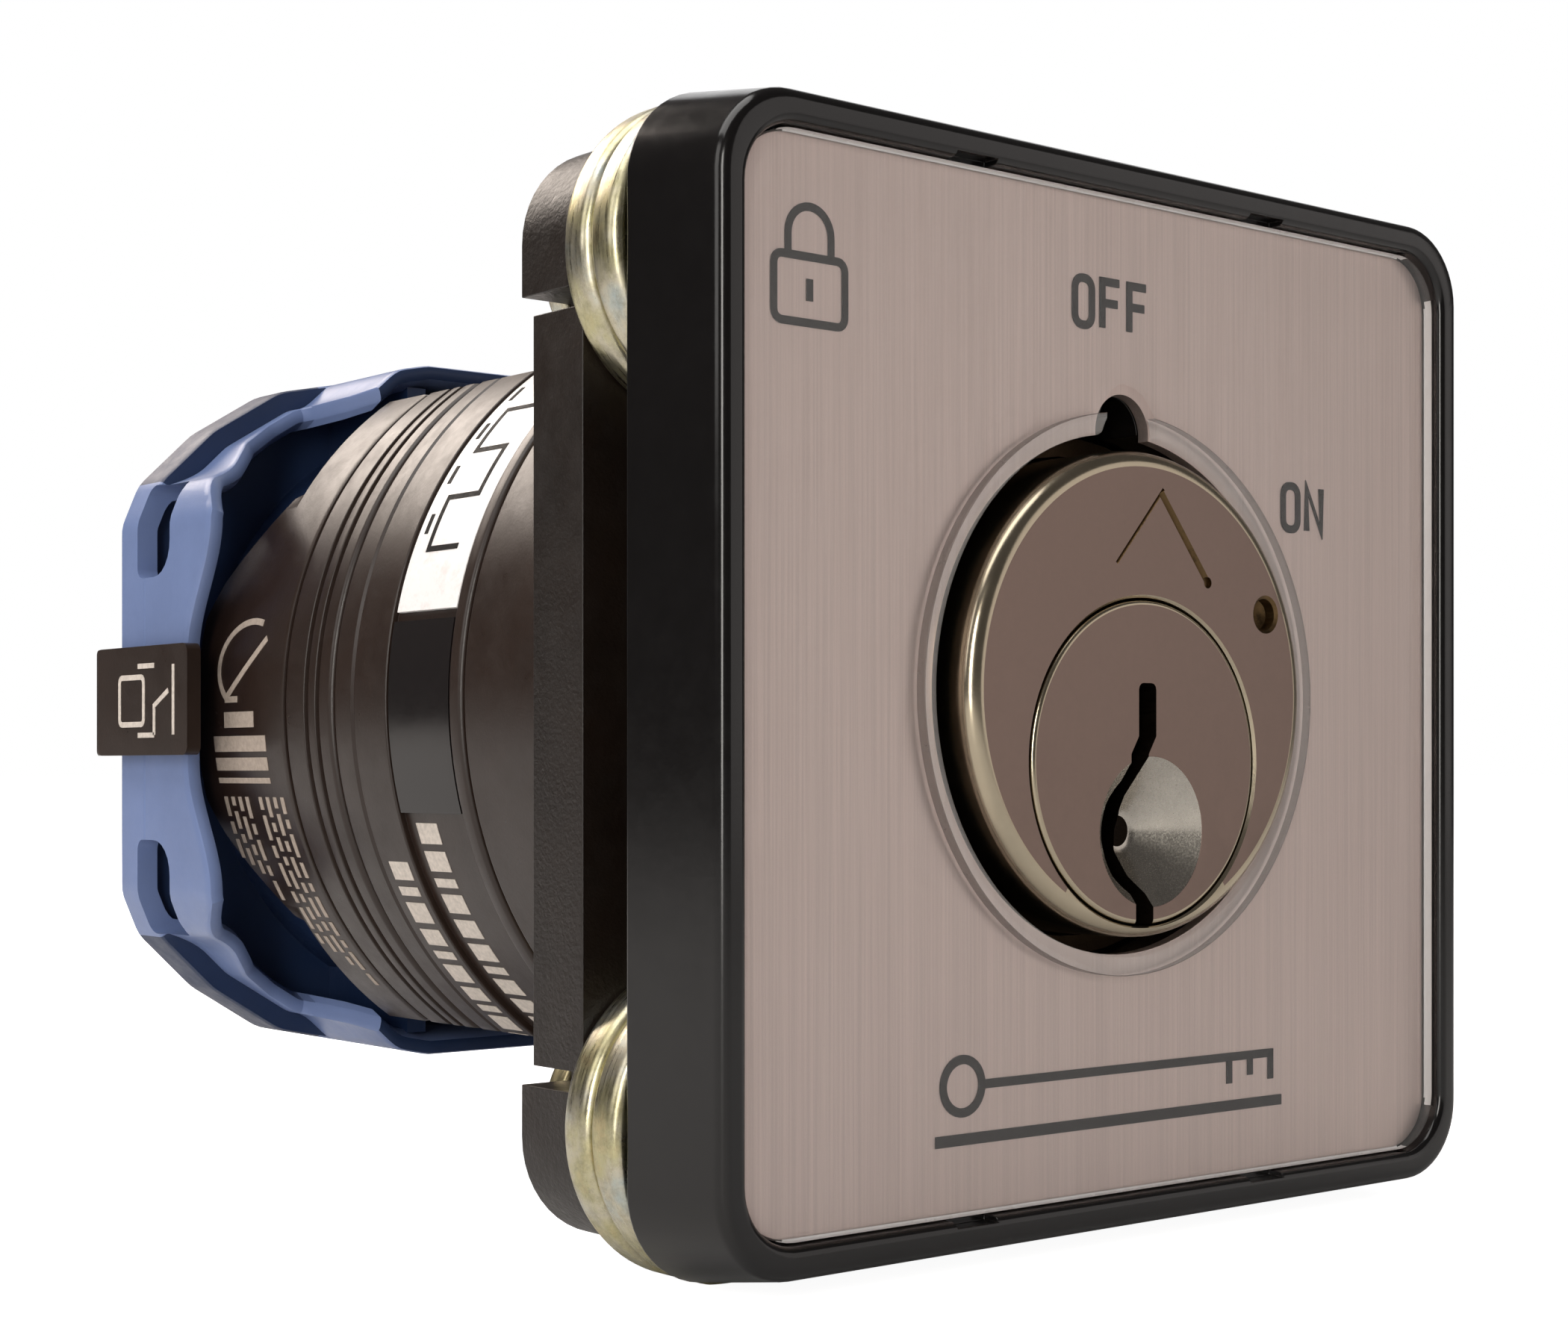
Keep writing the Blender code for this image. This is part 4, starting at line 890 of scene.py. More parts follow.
def keyway():
    """A zigzag slot from above the plug's axis to below its lower edge, wider in the scoop."""
    right = [
        (0.6, 0.5, 0.3), (0.6, -1.9, 0.2), (0.1, -2.7, 0.2), (0.1, -4.6, 0.2), (0.4, -5.4, 0.2),
        (0.0, -7.2, 0.2), (-0.1, -8.2, 0.2), (0.4, -9.0, 0.2), (0.4, -11.5, 0),
    ]
    left = [
        (-0.75, -11.5, 0), (-0.75, -9.0, 0.2), (-1.9, -8.1, 0.4), (-2.4, -6.4, 0.8),
        (-2.0, -4.9, 0.6), (-1.05, -3.9, 0.3), (-1.05, -2.7, 0.2), (-0.55, -1.9, 0.2),
        (-0.55, 0.5, 0.3),
    ]
    return filleted(right + left, 0.2, 3)


def make_plug():
    front, rear = PLUG_LOW.y, PLUG_HIGH.y
    shoulder = rear - 1.6
    profile = filleted([
        (0, front, 0), (PLUG, front, 0.22), (PLUG, shoulder, 0.2), (2.2, shoulder, 0.1),
        (2.2, rear, 0.2), (0, rear, 0),
    ], 0.2, 5)
    plug = lathe("plug_core", profile, nickel_face, polished_nickel_painted_reflection, nickel_dish, keyway_painted_shade,
                 centre=(0, PLUG_Z), segments=FINE_ROUND)
    dish, depth = 3.4, 2.1
    cone = filleted([(dish + 0.15, front - 0.2, 0), (dish, front, 0.12), (0.9, front + depth, 0.7),
                     (0, front + depth + 0.15, 0)], 0.3, 8, closed=False)
    scoop = lathe("plug_scoop", [(0, front - 0.2)] + cone, centre=SCOOP)
    cutters = [prism("plug_keyway", keyway(), front - 1, shoulder - 1.2), scoop]
    for k, y in enumerate(PIN_YS):
        cutters.append(upright(f"plug_pin_{k}", PIN_BORE, y, 0.1, 8))
    cut(plug, *cutters)
    edge = PLUG - 0.24
    # the plug's rim takes the polished nickel with its painted reflection
    paint_faces(plug, 1, lambda c, p: math.hypot(c.x, c.z - PLUG_Z) > edge)

    def inside(c, p):
        return math.hypot(c.x, c.z - PLUG_Z) < edge and c.y > front + 0.01

    def in_scoop(c, p):
        near = math.hypot(c.x - SCOOP[0], c.z - SCOOP[1]) < dish + 0.05 and c.y < front + depth + 0.05
        return near and inside(c, p) and p.normal.y < -0.2

    # 0 is the face, 1 the rim, 2 the scoop and 3 the keyway, painted dark as shade
    paint_faces(plug, 3, inside)
    paint_faces(plug, 2, in_scoop)
    add(plug, "plug", "satin_nickel", "key_plug")


# ---- Round body ------------------------------------------------------------------------------


def flattened_circle(radius, flat_z, steps=48):
    """A circle whose top and bottom are cut flat."""
    limit = math.degrees(math.asin(flat_z / radius))
    return arc(radius, -limit, limit, steps) + arc(radius, 180 - limit, 180 + limit, steps)


def hollowed(stage, y0, y1):
    """Cuts the body's hollow into a turned stage."""
    return cut(stage, prism("hollow", flattened_circle(BODY_BORE, INNER_FLAT), y0, y1))


def flattened(stage, flat_z=FLAT, ys=(0, BEHIND)):
    """Cuts the flats at the top and bottom."""
    beyond = 24
    return cut(stage, *(box(f"flat_{s}", (-beyond, beyond), ys, (s * flat_z, s * beyond)) for s in SIDES))


def make_lock_housing():
    low, high = span("lock_housing")
    front, rear, wall = low.y, high.y, low.y + 2.15
    profile = filleted([
        (LOCK_HOLE, front, 0.1), (BODY, front, 0.6), (BODY, rear, 0.3), (LOCK_HOLE, rear, 0.1),
    ], 0.2, 5)
    stage = lathe("lock_stage", profile, body_black, segments=FINE_ROUND)
    hub = lathe("lock_hub", [(13.3, wall - 0.3), (15.3, wall - 0.3), (15.3, rear), (13.3, rear)])
    flattened(join(hollowed(stage, wall, rear + 1), hub))
    add(stage, "housing", "body_black", "lock_housing", edge=0.15)


def make_latch_housing():
    low, high = span("latch_housing")
    front, rear, wall = low.y, high.y, high.y - 2.3
    label_low, label_high = span("label_band")
    depth, groove_ys = 0.35, (label_low.y - 0.15, label_high.y + 0.15)
    floor = BODY - depth
    profile = filleted([
        (SHAFT_HOLE, front, 0), (BODY, front, 0.3), (BODY, groove_ys[0], 0.12), (floor, groove_ys[0], 0),
        (floor, groove_ys[1], 0), (BODY, groove_ys[1], 0.12), (BODY, rear - 2.2, 0.06),
        (BODY - 0.12, rear - 2.0, 0.06), (BODY, rear - 1.8, 0.06), (BODY, rear, 0.35),
        (SHAFT_HOLE, rear, 0.1),
    ], 0.2, 4)
    stage = lathe("latch_stage", profile, body_black, segments=FINE_ROUND)
    flattened(flattened(hollowed(stage, front - 1, wall)), FLAT - depth, groove_ys)
    add(stage, "housing", "body_black", "latch_housing", edge=0.12)


def make_contact_housings():
    low, high = span("contact_housing_front")
    front, rear = low.y, high.y
    profile = [(SHAFT_HOLE, front, 0.1), (BODY, front, 0.35)]
    y = front + 1.2
    while y + 0.4 < rear - 0.9:
        profile += [
            (BODY, y, 0.08), (BODY - 0.4, y + 0.1, 0.05), (BODY - 0.4, y + 0.35, 0.05),
            (BODY, y + 0.45, 0.08),
        ]
        y += 1.15
    profile += [(BODY, rear, 0.25), (SHAFT_HOLE, rear, 0.1)]
    stage = lathe("contact_stage_front", filleted(profile, 0.1, 4), body_black, segments=FINE_ROUND)
    flattened(hollowed(stage, front + 1.3, rear + 1))
    add(stage, "housing", "body_black", "contact_housing_front", edge=0.12)
    front, rear = high.y + 0.2, 39.8
    rings = []
    for inset, y in ((0.3, front), (0.09, front + 0.09), (0, front + 0.3), (0, rear - 0.45),
                     (0.13, rear - 0.13), (0.45, rear)):
        rings.append([(x, y, z) for x, z in flattened_circle(BODY - inset, FLAT - inset)])
    stage = loft("contact_stage_rear", rings, body_black)
    hollowed(stage, front - 1, rear - 1.3)
    cutters = [disc("stage_shaft", SHAFT_HOLE, front, rear + 1)]
    for sx in SIDES:
        join(stage, stage_tongue(f"tongue_{sx}", sx, rear - 0.8))
        for sz in SIDES:
            cutters.append(box(f"stage_terminal_{sx}_{sz}", (sx * 10.4, sx * 11.8),
                               (rear - 3, rear + 1), (sz * 5.2, sz * 10.8)))
    cut(stage, *cutters)
    add(stage, "housing", "body_black", "contact_housing_rear", edge=0.14)


def stage_tongue(name, side, front):
    """The body's wall carried back into the shroud, between two slanting edges."""
    rear = span("contact_housing_rear")[1].y
    tongue = lathe(name, [(19.35, front), (BODY - 0.02, front), (BODY - 0.02, rear), (19.35, rear)],
                   segments=FINE_ROUND)
    upper = [(rear - 5.0, 11.4, 0.4), (rear - 1.1, 6.9, 1.0), (rear, 5.0, 0.8)]
    edge = [(front - 1, 11.9, 0)] + upper
    edge += [(y, -z, r) for y, z, r in reversed(edge)]
    rings = [[(side * x, y, z) for y, z in filleted(edge, 0.5, 6)] for x in (12.0, 24.0)]
    return combine(tongue, [loft(f"{name}_outline", rings)], "INTERSECT")


# ---- Label and printing on the body ----------------------------------------------------------


def on_body(inset):
    """Places (u, v): u is the distance round the body in millimetres at the left, v is along Y."""
    def place(u, v, height):
        angle = math.pi + u / BODY
        reach, flat = BODY - inset + height, FLAT - inset + height
        z = reach * math.sin(angle)
        return (reach * math.cos(angle), v, min(flat, max(-flat, z)))
    return place


def label_outline(inset, start, end, steps=40):
    """The body's outline moved inwards, from start to end in degrees, over the flat at the top."""
    limit = math.degrees(math.asin((FLAT - inset) / (BODY - inset)))
    left = arc(BODY - inset, 180 - limit, end, steps)
    return arc(BODY - inset, start, limit, steps) + left


def make_label():
    low, high = span("label_band")
    start, end = 12.0, 168.0
    sections = []
    for inset, y in ((0.28, low.y), (0.12, low.y + 0.04), (0.1, low.y + 0.3),
                     (0.1, high.y - 0.3), (0.12, high.y - 0.04), (0.28, high.y), (0.32, high.y),
                     (0.32, low.y)):
        sections.append([(x, y, z) for x, z in label_outline(inset, start, end)])
    bm = bmesh.new()
    made = [[bm.verts.new(point) for point in section] for section in sections]
    for first, second in zip(made, made[1:] + made[:1]):
        for k in range(len(first) - 1):
            bm.faces.new((first[k], first[k + 1], second[k + 1], second[k]))
    bm.faces.new([section[0] for section in made])
    bm.faces.new([section[-1] for section in made])
    add(new_object("label_strip", bm, foil), "housing", "label_foil", "label_band")
    # a plain switching diagram round the strip: one square wave and a row of short bars
    v0, v1 = low.y + 1.3, high.y - 1.5
    pulses, bands = [], []
    for k in range(14):
        u = -7.6 - 2.9 * k
        rise, fall = (v0, v1) if k % 2 else (v1, v0)
        pulses += [(u, fall), (u, rise)]
        bands.append(line((u - 0.9, high.y - 0.75), (u - 2.0, high.y - 0.75), 0.3))
    bands.append((stepped(pulses, 0.6), 0.3, False))
    add(strokes("label_marks", bands, on_body(0.1), black_ink, 0.03), "housing", "label_foil")


def spaced(u0, u1, lengths, gap):
    """Start and length of each mark in a row from u0 to u1, with the lengths repeated."""
    found, u = [], u0
    while u < u1:
        found.append((u, lengths[len(found) % len(lengths)]))
        u += found[-1][1] + gap
    return found


def dashes(v, u0, u1, lengths):
    """A row of short bars round the body at v."""
    return [line((u, v), (u + length, v), 0.36) for u, length in spaced(u0, u1, lengths, 0.32)]


def blocks(v, u0, u1, height, widths):
    """A row of filled upright blocks round the body at v."""
    bands = []
    for u, width in spaced(u0, u1, widths, 0.4):
        across = u + width / 2
        bands.append(([(across, v - height / 2), (across, v + height / 2)], width, False))
    return bands


def make_body_print():
    # two rows of plain blocks round the latch stage below the label, and a few on the other side
    bands = blocks(26.4, 8.2, 30, 1.8, (1.0, 0.5, 1.2))
    bands += blocks(27.2, -25.5, -20.5, 1.5, (0.9, 0.5, 1.1))
    add(strokes("latch_print", bands, on_body(0), white_ink, 0.03), "housing", "body_black")
    bands = blocks(23.2, 6.2, 30, 1.9, (1.1, 1.1, 0.5, 1.1))
    bands += blocks(20.3, 19.5, 31, 1.4, (0.9, 0.5))
    add(strokes("groove_print", bands, on_body(0.35), white_ink, 0.03), "housing", "body_black")
    # a dark film below the label, on the same band
    low, high = span("label_band")
    middle = (low.y + high.y) / 2
    film = [line((-3.9, middle), (5.6, middle), high.y - low.y, 0.4)]
    add(strokes("dark_film", film, on_body(0.33), gloss_film, 0.26), "housing", "body_black")
    # contact stage and its tongue: a plain dial, bars, rules and rows of short bars
    dial = arc(2.6, 200, 40, 20, (0, 0))
    bands = [
        ([(-2.2 + 0.92 * x, 39.4 + 1.25 * y) for x, y in dial], 0.36, False),
        line((-0.4, 41.8), (-3.6, 37.6), 0.36), line((-0.4, 41.8), (-0.4, 40.4), 0.34),
        line((0.7, 38.6), (0.7, 41.9), 0.85),
    ]
    for u, width in ((2.0, 0.85), (3.1, 0.7), (4.0, 0.3)):
        bands.append(line((u, 37.4), (u, 43.2), width))
    rows = (
        (36.5, 16.0, (0.9, 0.5, 1.3)), (37.3, 15.2, (0.6, 1.2)), (38.1, 14.6, (1.1, 0.5, 0.8, 0.5)),
        (38.9, 14.0, (0.7, 1.4)), (40.4, 10.4, (1.2, 0.6)), (41.2, 9.4, (0.8, 1.3, 0.6)),
        (42.0, 8.4, (0.5, 1.0)), (42.8, 7.4, (1.1, 0.7)),
    )
    for v, end, lengths in rows:
        bands += dashes(v, 4.9, end, lengths)
    add(strokes("contact_print", bands, on_body(0), pale_ink, 0.03), "housing", "body_black")


# ---- Terminal shroud and rear cover ----------------------------------------------------------

# The outline's upper right quarter as (x, z, corner radius).
SHROUD_QUADRANT = (
    (22.6, 10.4, 2.0), (21.6, 12.8, 2.0), (18.4, 15.9, 3.0), (14.2, 18.5, 3.0), (9.0, 19.6, 2.0),
)


def mirrored(quadrant):
    """A closed outline from its upper right quarter, counter-clockwise from the right."""
    upper = [(x, z, r) for x, z, r in quadrant]
    outline = upper + [(-x, z, r) for x, z, r in reversed(upper)]
    return outline + [(-x, -z, r) for x, z, r in outline]


def even_outline(points, step):
    """A closed outline resampled at even steps, with the outward normal at each point."""
    loop = [Vector(p) for p in points] + [Vector(points[0])]
    lengths = [0.0]
    for a, b in zip(loop, loop[1:]):
        lengths.append(lengths[-1] + (b - a).length)
    count = round(lengths[-1] / step)
    samples, k = [], 0
    for n in range(count):
        distance = lengths[-1] * n / count
        while lengths[k + 1] < distance:
            k += 1
        t = (distance - lengths[k]) / (lengths[k + 1] - lengths[k])
        samples.append(loop[k].lerp(loop[k + 1], t))
    normals = []
    for n in range(count):
        along = (samples[(n + 1) % count] - samples[n - 1]).normalized()
        normals.append(Vector((along.y, -along.x)))
    return samples, normals


def ease(value, low, high):
    t = min(1.0, max(0.0, (value - low) / (high - low)))
    return t * t * (3 - 2 * t)


def diagonal(point):
    """1 on the slanting corners of the outline, 0 on its flats."""
    return ease(abs(point.y), 11.6, 14.6) * ease(abs(point.x), 10.6, 13.4)


def make_shroud():
    front, rear = SHROUD_LOW.y, SHROUD_HIGH.y
    wall, thin, edge = 1.2, 0.85, 0.25     # thin is the wall's thickness at the lip
    flange_y, set_in = 48.2, 1.15
    samples, normals = even_outline(filleted(mirrored(SHROUD_QUADRANT), 1.0, 6), 0.4)

    def lip(point):
        """The lip runs in a wave: back a little at the sides, and far back along the diagonals."""
        x, z = abs(point.x), abs(point.y)
        side = 2.7 * (1 - ease(z, 3.0, 10.0)) if x > 20 else 0.0
        return front + side + 6.9 * min(1.0, max(0.0, (z - 10.6) / 6.8)) * ease(x, 12.4, 13.4)

    def ring(inset, height, flange=False):
        """height is a fixed y, or a pair (0, distance back from the lip)."""
        points = []
        for p, n in zip(samples, normals):
            y = height if isinstance(height, float) else lip(p) + height[1]
            moved = p - n * (inset + (0.0 if flange else set_in * diagonal(p)))
            points.append((moved.x, y, moved.y))
        return points

    rings = [ring(edge, (0, 0.0)), ring(edge * 0.3, (0, edge * 0.3)), ring(0.0, (0, edge))]
    rings += [ring(0.0, (0, 0.7)), ring(0.0, flange_y - 0.05), ring(0.0, flange_y)]
    rings += [ring(0.1, flange_y + 0.1, True), ring(0.0, flange_y + 0.3, True)]
    rings += [ring(0.0, rear - 0.4, True), ring(0.1, rear - 0.1, True), ring(0.4, rear, True)]
    rings += [ring(wall, rear), ring(wall, (0, 1.2)), ring(thin, (0, edge))]
    rings += [ring(thin - edge * 0.3, (0, edge * 0.3)), ring(thin - edge, (0, 0.0))]
    shell = loft("shroud_shell", rings, shroud_blue, shroud_painted_shade, capped=False)
    slots = []
    (slot_front, slot_rear), (slot_low, slot_high) = (45.2, 49.2), (7.3, 12.6)
    for sx, sz in QUARTERS:
        slot = filleted([
            (slot_front, sz * slot_low, 2.2), (slot_rear, sz * slot_low, 0.6),
            (slot_rear, sz * slot_high, 0.6), (slot_front, sz * slot_high, 0.6),
        ], 0.7, 6)
        sides = [[(sx * x, y, z) for y, z in slot] for x in (19.5, 25.0)]
        slots.append(loft(f"shroud_slot_{sx}_{sz}", sides))
    cut(shell, *slots)
    # painted shade: the set-in diagonals behind the flange and the lip's front faces at top and bottom
    # take the darker blue
    paint_faces(shell, 1, lambda c, p: c.y > flange_y - 0.05 and diagonal(Vector((c.x, c.z))) > 0.3)
    paint_faces(shell, 1, lambda c, p: p.normal.y < -0.6 and abs(c.x) < 12.6 and abs(c.z) > 16)
    rounded_edges(shell, 0.12, limit=math.radians(55))
    add(shell, "housing", "shroud_blue", "terminal_shroud")
    # the rear wall, the curved wall round the terminals and its pillars
    fit = [tuple(p - n * (wall + set_in * diagonal(p) + 0.02)) for p, n in zip(samples, normals)]
    rear_wall, drum_bore, drum_radius = rear - 1.5, 17.2, 18.1
    into_wall = rear_wall + 0.4
    # the core takes the darker blue as painted shade inside the shroud
    core = prism("shroud_core", fit, rear_wall, rear - 0.05, shroud_painted_shade)
    drum = lathe("core_drum", filleted([
        (drum_bore, front + 0.9, 0.2), (drum_radius, front + 0.9, 0.25), (drum_radius, into_wall, 0),
        (drum_bore, into_wall, 0),
    ], 0.2, 4))
    additions = [drum]
    cutters = [disc("core_shaft", SHAFT_HOLE, 40, rear + 1)]
    for s in SIDES:
        cutters.append(tie_hole(f"core_tie_{s}", s, 40, rear + 1))
        cutters.append(box(f"core_top_{s}", (-8.7, 8.7), (front - 1, 45.5), (s * 13.0, s * 18.3)))
    for sx, sz in QUARTERS:
        turn = math.degrees(math.atan2(-sz, sx)) + sx * sz * 7
        window = box(f"core_window_{sx}_{sz}", (14.0, 19.5), (41.9, 45.4), (-2.6, 2.6), turn=turn)
        cutters.append(window)
        additions.append(box(f"core_pillar_{sx}_{sz}", (sx * 8.8, sx * 10.0),
                             (front + 0.7, into_wall), (sz * 15.0, sz * 18.35)))
    cut(join(core, *additions), *cutters)
    add(core, "housing", "shroud_blue", "terminal_shroud", edge=0.12)


def make_rear_cover():
    front, rear = SHROUD_HIGH.y + 0.1, COVER_HIGH.y
    outline = filleted(mirrored(SHROUD_QUADRANT), 1.0, 6)
    samples, normals = even_outline(outline, 0.45)
    rings = []
    profile = ((0.95, front), (0.9, front + 0.1), (0.9, rear - 0.4), (1.0, rear - 0.12), (1.3, rear))
    for inset, y in profile:
        rings.append([(p.x - n.x * inset, y, p.y - n.y * inset) for p, n in zip(samples, normals)])
    cover = loft("rear_plate", rings, body_black)
    arm_x, arm_z = (22.85, COVER_HIGH.x), (-2.6, 3.4)
    arms = []
    for sx in SIDES:
        rings = []
        for x, end in ((arm_x[0], rear - 0.1), (arm_x[0] + 0.25, rear - 0.15),
                       (arm_x[1] - 0.2, rear - 0.45), (arm_x[1], rear - 1.2)):
            tip = filleted([(COVER_LOW.y, arm_z[0], 0.5), (end, arm_z[0], 0.3),
                            (end, arm_z[1], 0.3), (COVER_LOW.y, arm_z[1], 0.5)], 0.5, 5)
            rings.append([(sx * x, y, z) for y, z in tip])
        arms.append(loft(f"cover_arm_{sx}", rings))
        arms.append(box(f"cover_bridge_{sx}", (sx * 20.0, sx * (arm_x[0] + 0.2)),
                        (front + 0.05, rear - 0.2), (arm_z[0] + 0.1, arm_z[1] - 0.1)))
    join(cover, *arms)
    cutters = [disc("cover_shaft", 3.0, front - 1, rear + 1, segments=64)]
    for s in SIDES:
        cutters.append(tie_hole(f"cover_tie_{s}", s, front - 1, rear + 1))
        for t in SIDES:
            cutters.append(box(f"cover_relief_{s}_{t}", (t * 8.5, t * 15.0), (rear - 0.5, rear + 1),
                               (s * 6.0, s * 11.5)))
    cut(cover, *cutters)
    add(cover, "housing", "body_black", "rear_cover", edge=0.14)
    # a plain two-contact diagram on each arm
    for sx, side in ((-1, "left"), (1, "right")):
        def place(u, v, height, sx=sx):
            return (sx * (arm_x[1] + height), u, v)
        z = (arm_z[0] + arm_z[1]) / 2
        frame_line = [(46.2, z - 1.3), (49.2, z - 1.3), (49.2, z + 1.3), (46.2, z + 1.3)]
        bands = [
            (filleted(frame_line, 0.3, 3), 0.3, True),
            ([(44.9, z + 1.9), (46.9, z + 1.9)], 0.28, False),
            ([(44.9, z - 1.9), (46.9, z - 1.9)], 0.28, False),
            ([(44.9, z - 1.9), (44.9, z - 0.3), (43.2, z + 0.5)], 0.28, False),
            ([(42.6, z + 1.9), (42.6, z - 1.9)], 0.28, False),
        ]
        add(strokes(f"arm_print_{side}", bands, place, white_ink, 0.03), "housing", "body_black")


def make_tie_bolts():
    for side, s in (("top", 1), ("bottom", -1)):
        low, high = span(f"tie_bolt_{side}")
        head, under = (high.x - low.x) / 2, high.y - 1.7
        profile = filleted([
            (0, low.y, 0), (1.25, low.y, 0.2), (1.25, under, 0), (head, under, 0.2),
            (head, high.y - 0.5, 0.4), (head - 1.2, high.y, 0.8), (0, high.y, 0),
        ], 0.3, 5)
        bolt = lathe(f"zinc_tie_bolt_{side}", profile, zinc, centre=(0, s * TIE_Z), segments=64)
        slot = box(f"tie_slot_{side}", (-3.2, 3.2), (high.y - 0.9, high.y + 1),
                   (s * TIE_Z - 0.35, s * TIE_Z + 0.35))
        cut(bolt, slot)
        add(bolt, "housing", "zinc", f"tie_bolt_{side}", edge=0.08)


# ---- Carried-over CAD nodes ------------------------------------------------------------------

# the lock sleeve takes brass darkened as painted shade
KEPT = (
    ("lock_sleeve", sleeve_brass_painted_shade), ("lock_bolt", steel), ("plug_cam", steel), ("pin_cover", brass),
    ("drive_adapter", pale_nylon), ("drive_shaft", steel), ("shaft_clip", spring_wire),
    ("star_wheel", cam_resin), ("contact_cam", cam_resin),
)


def keep_cad_nodes():
    kept = list(KEPT)
    for k in (1, 2, 3):
        kept += [(f"key_pin_{k}", brass), (f"driver_pin_{k}", brass), (f"pin_spring_{k}", spring_wire)]
    for k in (1, 2, 3, 4):
        kept.append((f"terminal_{k}", copper))
    for side in ("left", "right"):
        kept += [
            (f"detent_plunger_{side}", pale_nylon), (f"detent_spring_{side}", spring_wire),
            (f"contact_plunger_{side}", pale_nylon), (f"contact_bridge_{side}", copper),
            (f"contact_spring_{side}", spring_wire),
        ]
    for node, material in kept:
        for material_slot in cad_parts[node].material_slots:
            material_slot.material = material


def make_terminal_screws():
    """A slotted clamping screw on each terminal."""
    for k in (1, 2, 3, 4):
        low, high = span(f"terminal_{k}")
        sx = 1 if low.x > 0 else -1
        x, y, z = sx * 13.3, 44.3, (low.z + high.z) / 2
        rings = []
        for radius, reach in ((1.6, 0.0), (1.75, 0.15), (1.75, 0.9), (1.5, 1.15)):
            rings.append([(x + sx * reach, y + dy, z + dz) for dy, dz in arc(radius, 0, 352.5, 47)])
        screw = loft(f"terminal_screw_{k}", rings, zinc)
        slot = box(f"terminal_slot_{k}", (x + sx * 0.6, x + sx * 2), (y - 0.28, y + 0.28),
                   (z - 3, z + 3))
        cut(screw, slot)
        add(screw, "housing", "zinc", edge=0.06)


make_bezel()
make_window()
make_legend()
make_legend_print()
make_washers()
make_panel_screws()
make_mounting_plate()
make_barrel()
make_plug()
make_lock_housing()
make_latch_housing()
make_contact_housings()
make_label()
make_body_print()
make_shroud()
make_rear_cover()
make_tie_bolts()
make_terminal_screws()
keep_cad_nodes()


# ---- Floor, light and camera -----------------------------------------------------------------


def camera_only(nodes, links, seen, lit, output):
    """Shows one shader to the camera and lights the scene with the other."""
    path, mixer = nodes.new("ShaderNodeLightPath"), nodes.new("ShaderNodeMixShader")
    links.new(path.outputs["Is Camera Ray"], mixer.inputs["Fac"])
    links.new(lit, mixer.inputs[1])
    links.new(seen, mixer.inputs[2])
    links.new(mixer.outputs["Shader"], output)


def make_floor():
    """A pale floor that runs into the white behind it."""
    surface = Surface("pale_floor", rgb(232, 232, 232), 0.8)
    clouds = ((0.3, rgb(229, 229, 229)), (0.7, rgb(235, 235, 235)))
    surface.paint(surface.ramp(surface.noise(60.0), clouds))
    nodes, links = surface.nodes, surface.links
    glow, both = nodes.new("ShaderNodeEmission"), nodes.new("ShaderNodeAddShader")
    glow.inputs["Strength"].default_value = 0.93
    links.new(surface.shader.outputs["BSDF"], both.inputs[0])
    links.new(glow.outputs["Emission"], both.inputs[1])
    camera_only(nodes, links, both.outputs["Shader"], surface.shader.outputs["BSDF"],
                nodes["Material Output"].inputs["Surface"])
    bm = bmesh.new()
    bmesh.ops.create_grid(bm, x_segments=1, y_segments=1, size=9000)
    floor = new_object("floor", bm, surface.material, recalculate=False)
    floor.location.z = (BEZEL_LOW.z - 0.3) * MM


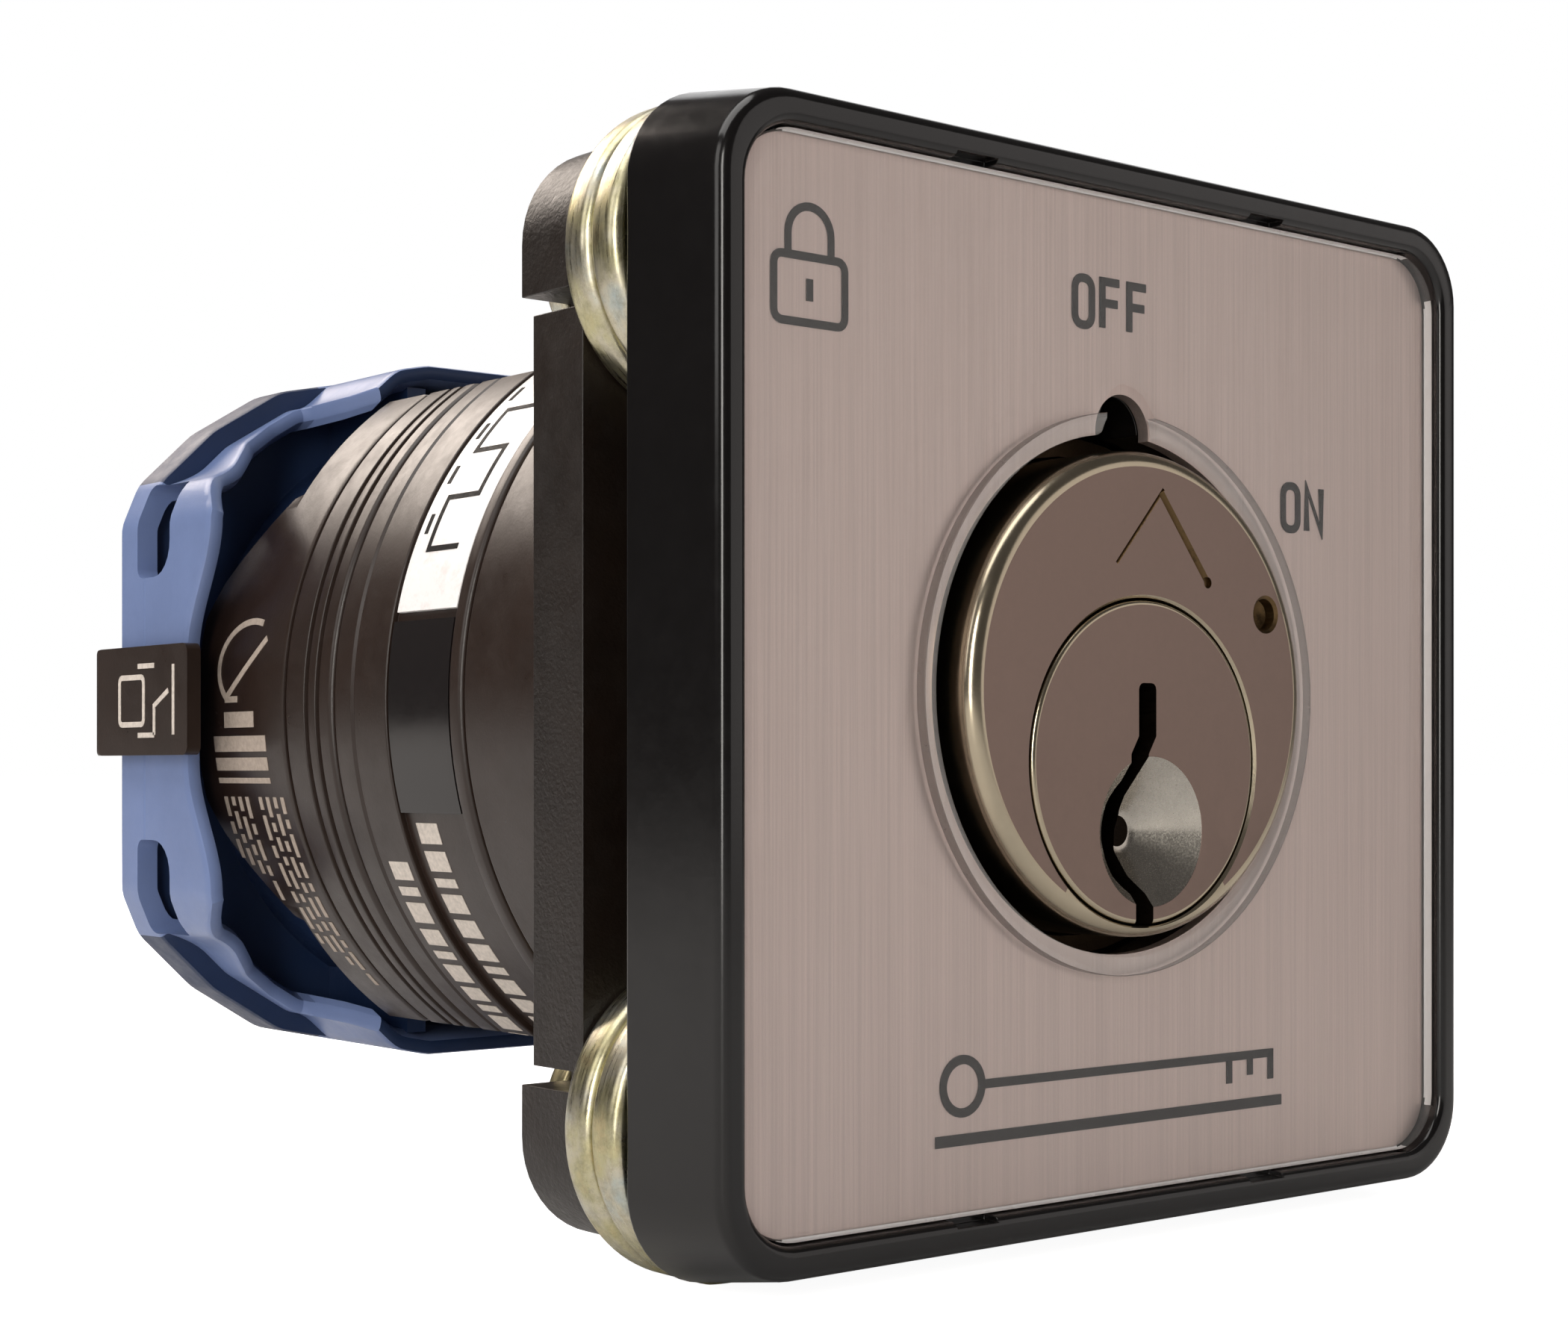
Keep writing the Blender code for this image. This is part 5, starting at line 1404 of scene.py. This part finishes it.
# Name, place and size in millimetres, power in watts, colour.
LIGHTS = (
    ("window_strip", (-420, -330, 60), (110, 420), 1.5, (1.0, 0.97, 0.92)),
    ("front_right", (380, -460, 120), (420, 420), 0.42, (1.0, 0.94, 0.91)),
    ("overhead", (-160, 40, 460), (420, 420), 1.6, (1.0, 0.98, 0.96)),
    ("side_left", (-460, 60, 200), (260, 260), 0.45, (1.0, 0.97, 0.94)),
    ("behind", (-60, 430, 330), (300, 200), 1.2, (1.0, 0.88, 0.78)),
    ("back_right", (380, 360, 260), (360, 360), 0.4, (1.0, 1.0, 1.0)),
)


def area_light(name, place, size, energy, colour):
    """A rectangular light at place, in millimetres, aimed at the middle of the switch."""
    data = bpy.data.lights.new(name, "AREA")
    data.shape = "RECTANGLE"
    data.size, data.size_y = size[0] * MM, size[1] * MM
    data.energy = energy
    data.color = colour
    light = bpy.data.objects.new(name, data)
    light.location = Vector(place) * MM
    aim = Vector((0, 15 * MM, 0)) - light.location
    light.rotation_euler = aim.to_track_quat("-Z", "Y").to_euler()
    bpy.context.scene.collection.objects.link(light)


def make_world():
    """White to the camera, and a softer grey as the light of the room."""
    world = bpy.data.worlds.new("room")
    bpy.context.scene.world = world
    world.use_nodes = True
    nodes, links = world.node_tree.nodes, world.node_tree.links
    nodes.clear()
    output = nodes.new("ShaderNodeOutputWorld")
    backgrounds = []
    for colour, strength in (((1, 1, 1, 1), 1.0), ((1.0, 0.95, 0.92, 1), 0.1)):
        background = nodes.new("ShaderNodeBackground")
        background.inputs["Color"].default_value = colour
        background.inputs["Strength"].default_value = strength
        backgrounds.append(background.outputs["Background"])
    camera_only(nodes, links, *backgrounds, output.inputs["Surface"])


def make_camera():
    data = bpy.data.cameras.new("camera")
    data.lens, data.sensor_width = 58.16, 36.0
    data.shift_y = 0.0716
    data.clip_start, data.clip_end = 0.005, 20.0
    camera = bpy.data.objects.new("camera", data)
    camera.location = Vector((-85.3, -83.36, -3.45)) * MM
    look = Vector((0.63785, 0.77016, 0.0))
    camera.rotation_euler = look.to_track_quat("-Z", "Y").to_euler()
    bpy.context.scene.collection.objects.link(camera)
    bpy.context.scene.camera = camera


make_floor()
make_world()
make_camera()
for light in LIGHTS:
    area_light(*light)
bpy.context.scene.view_settings.view_transform = "Standard"
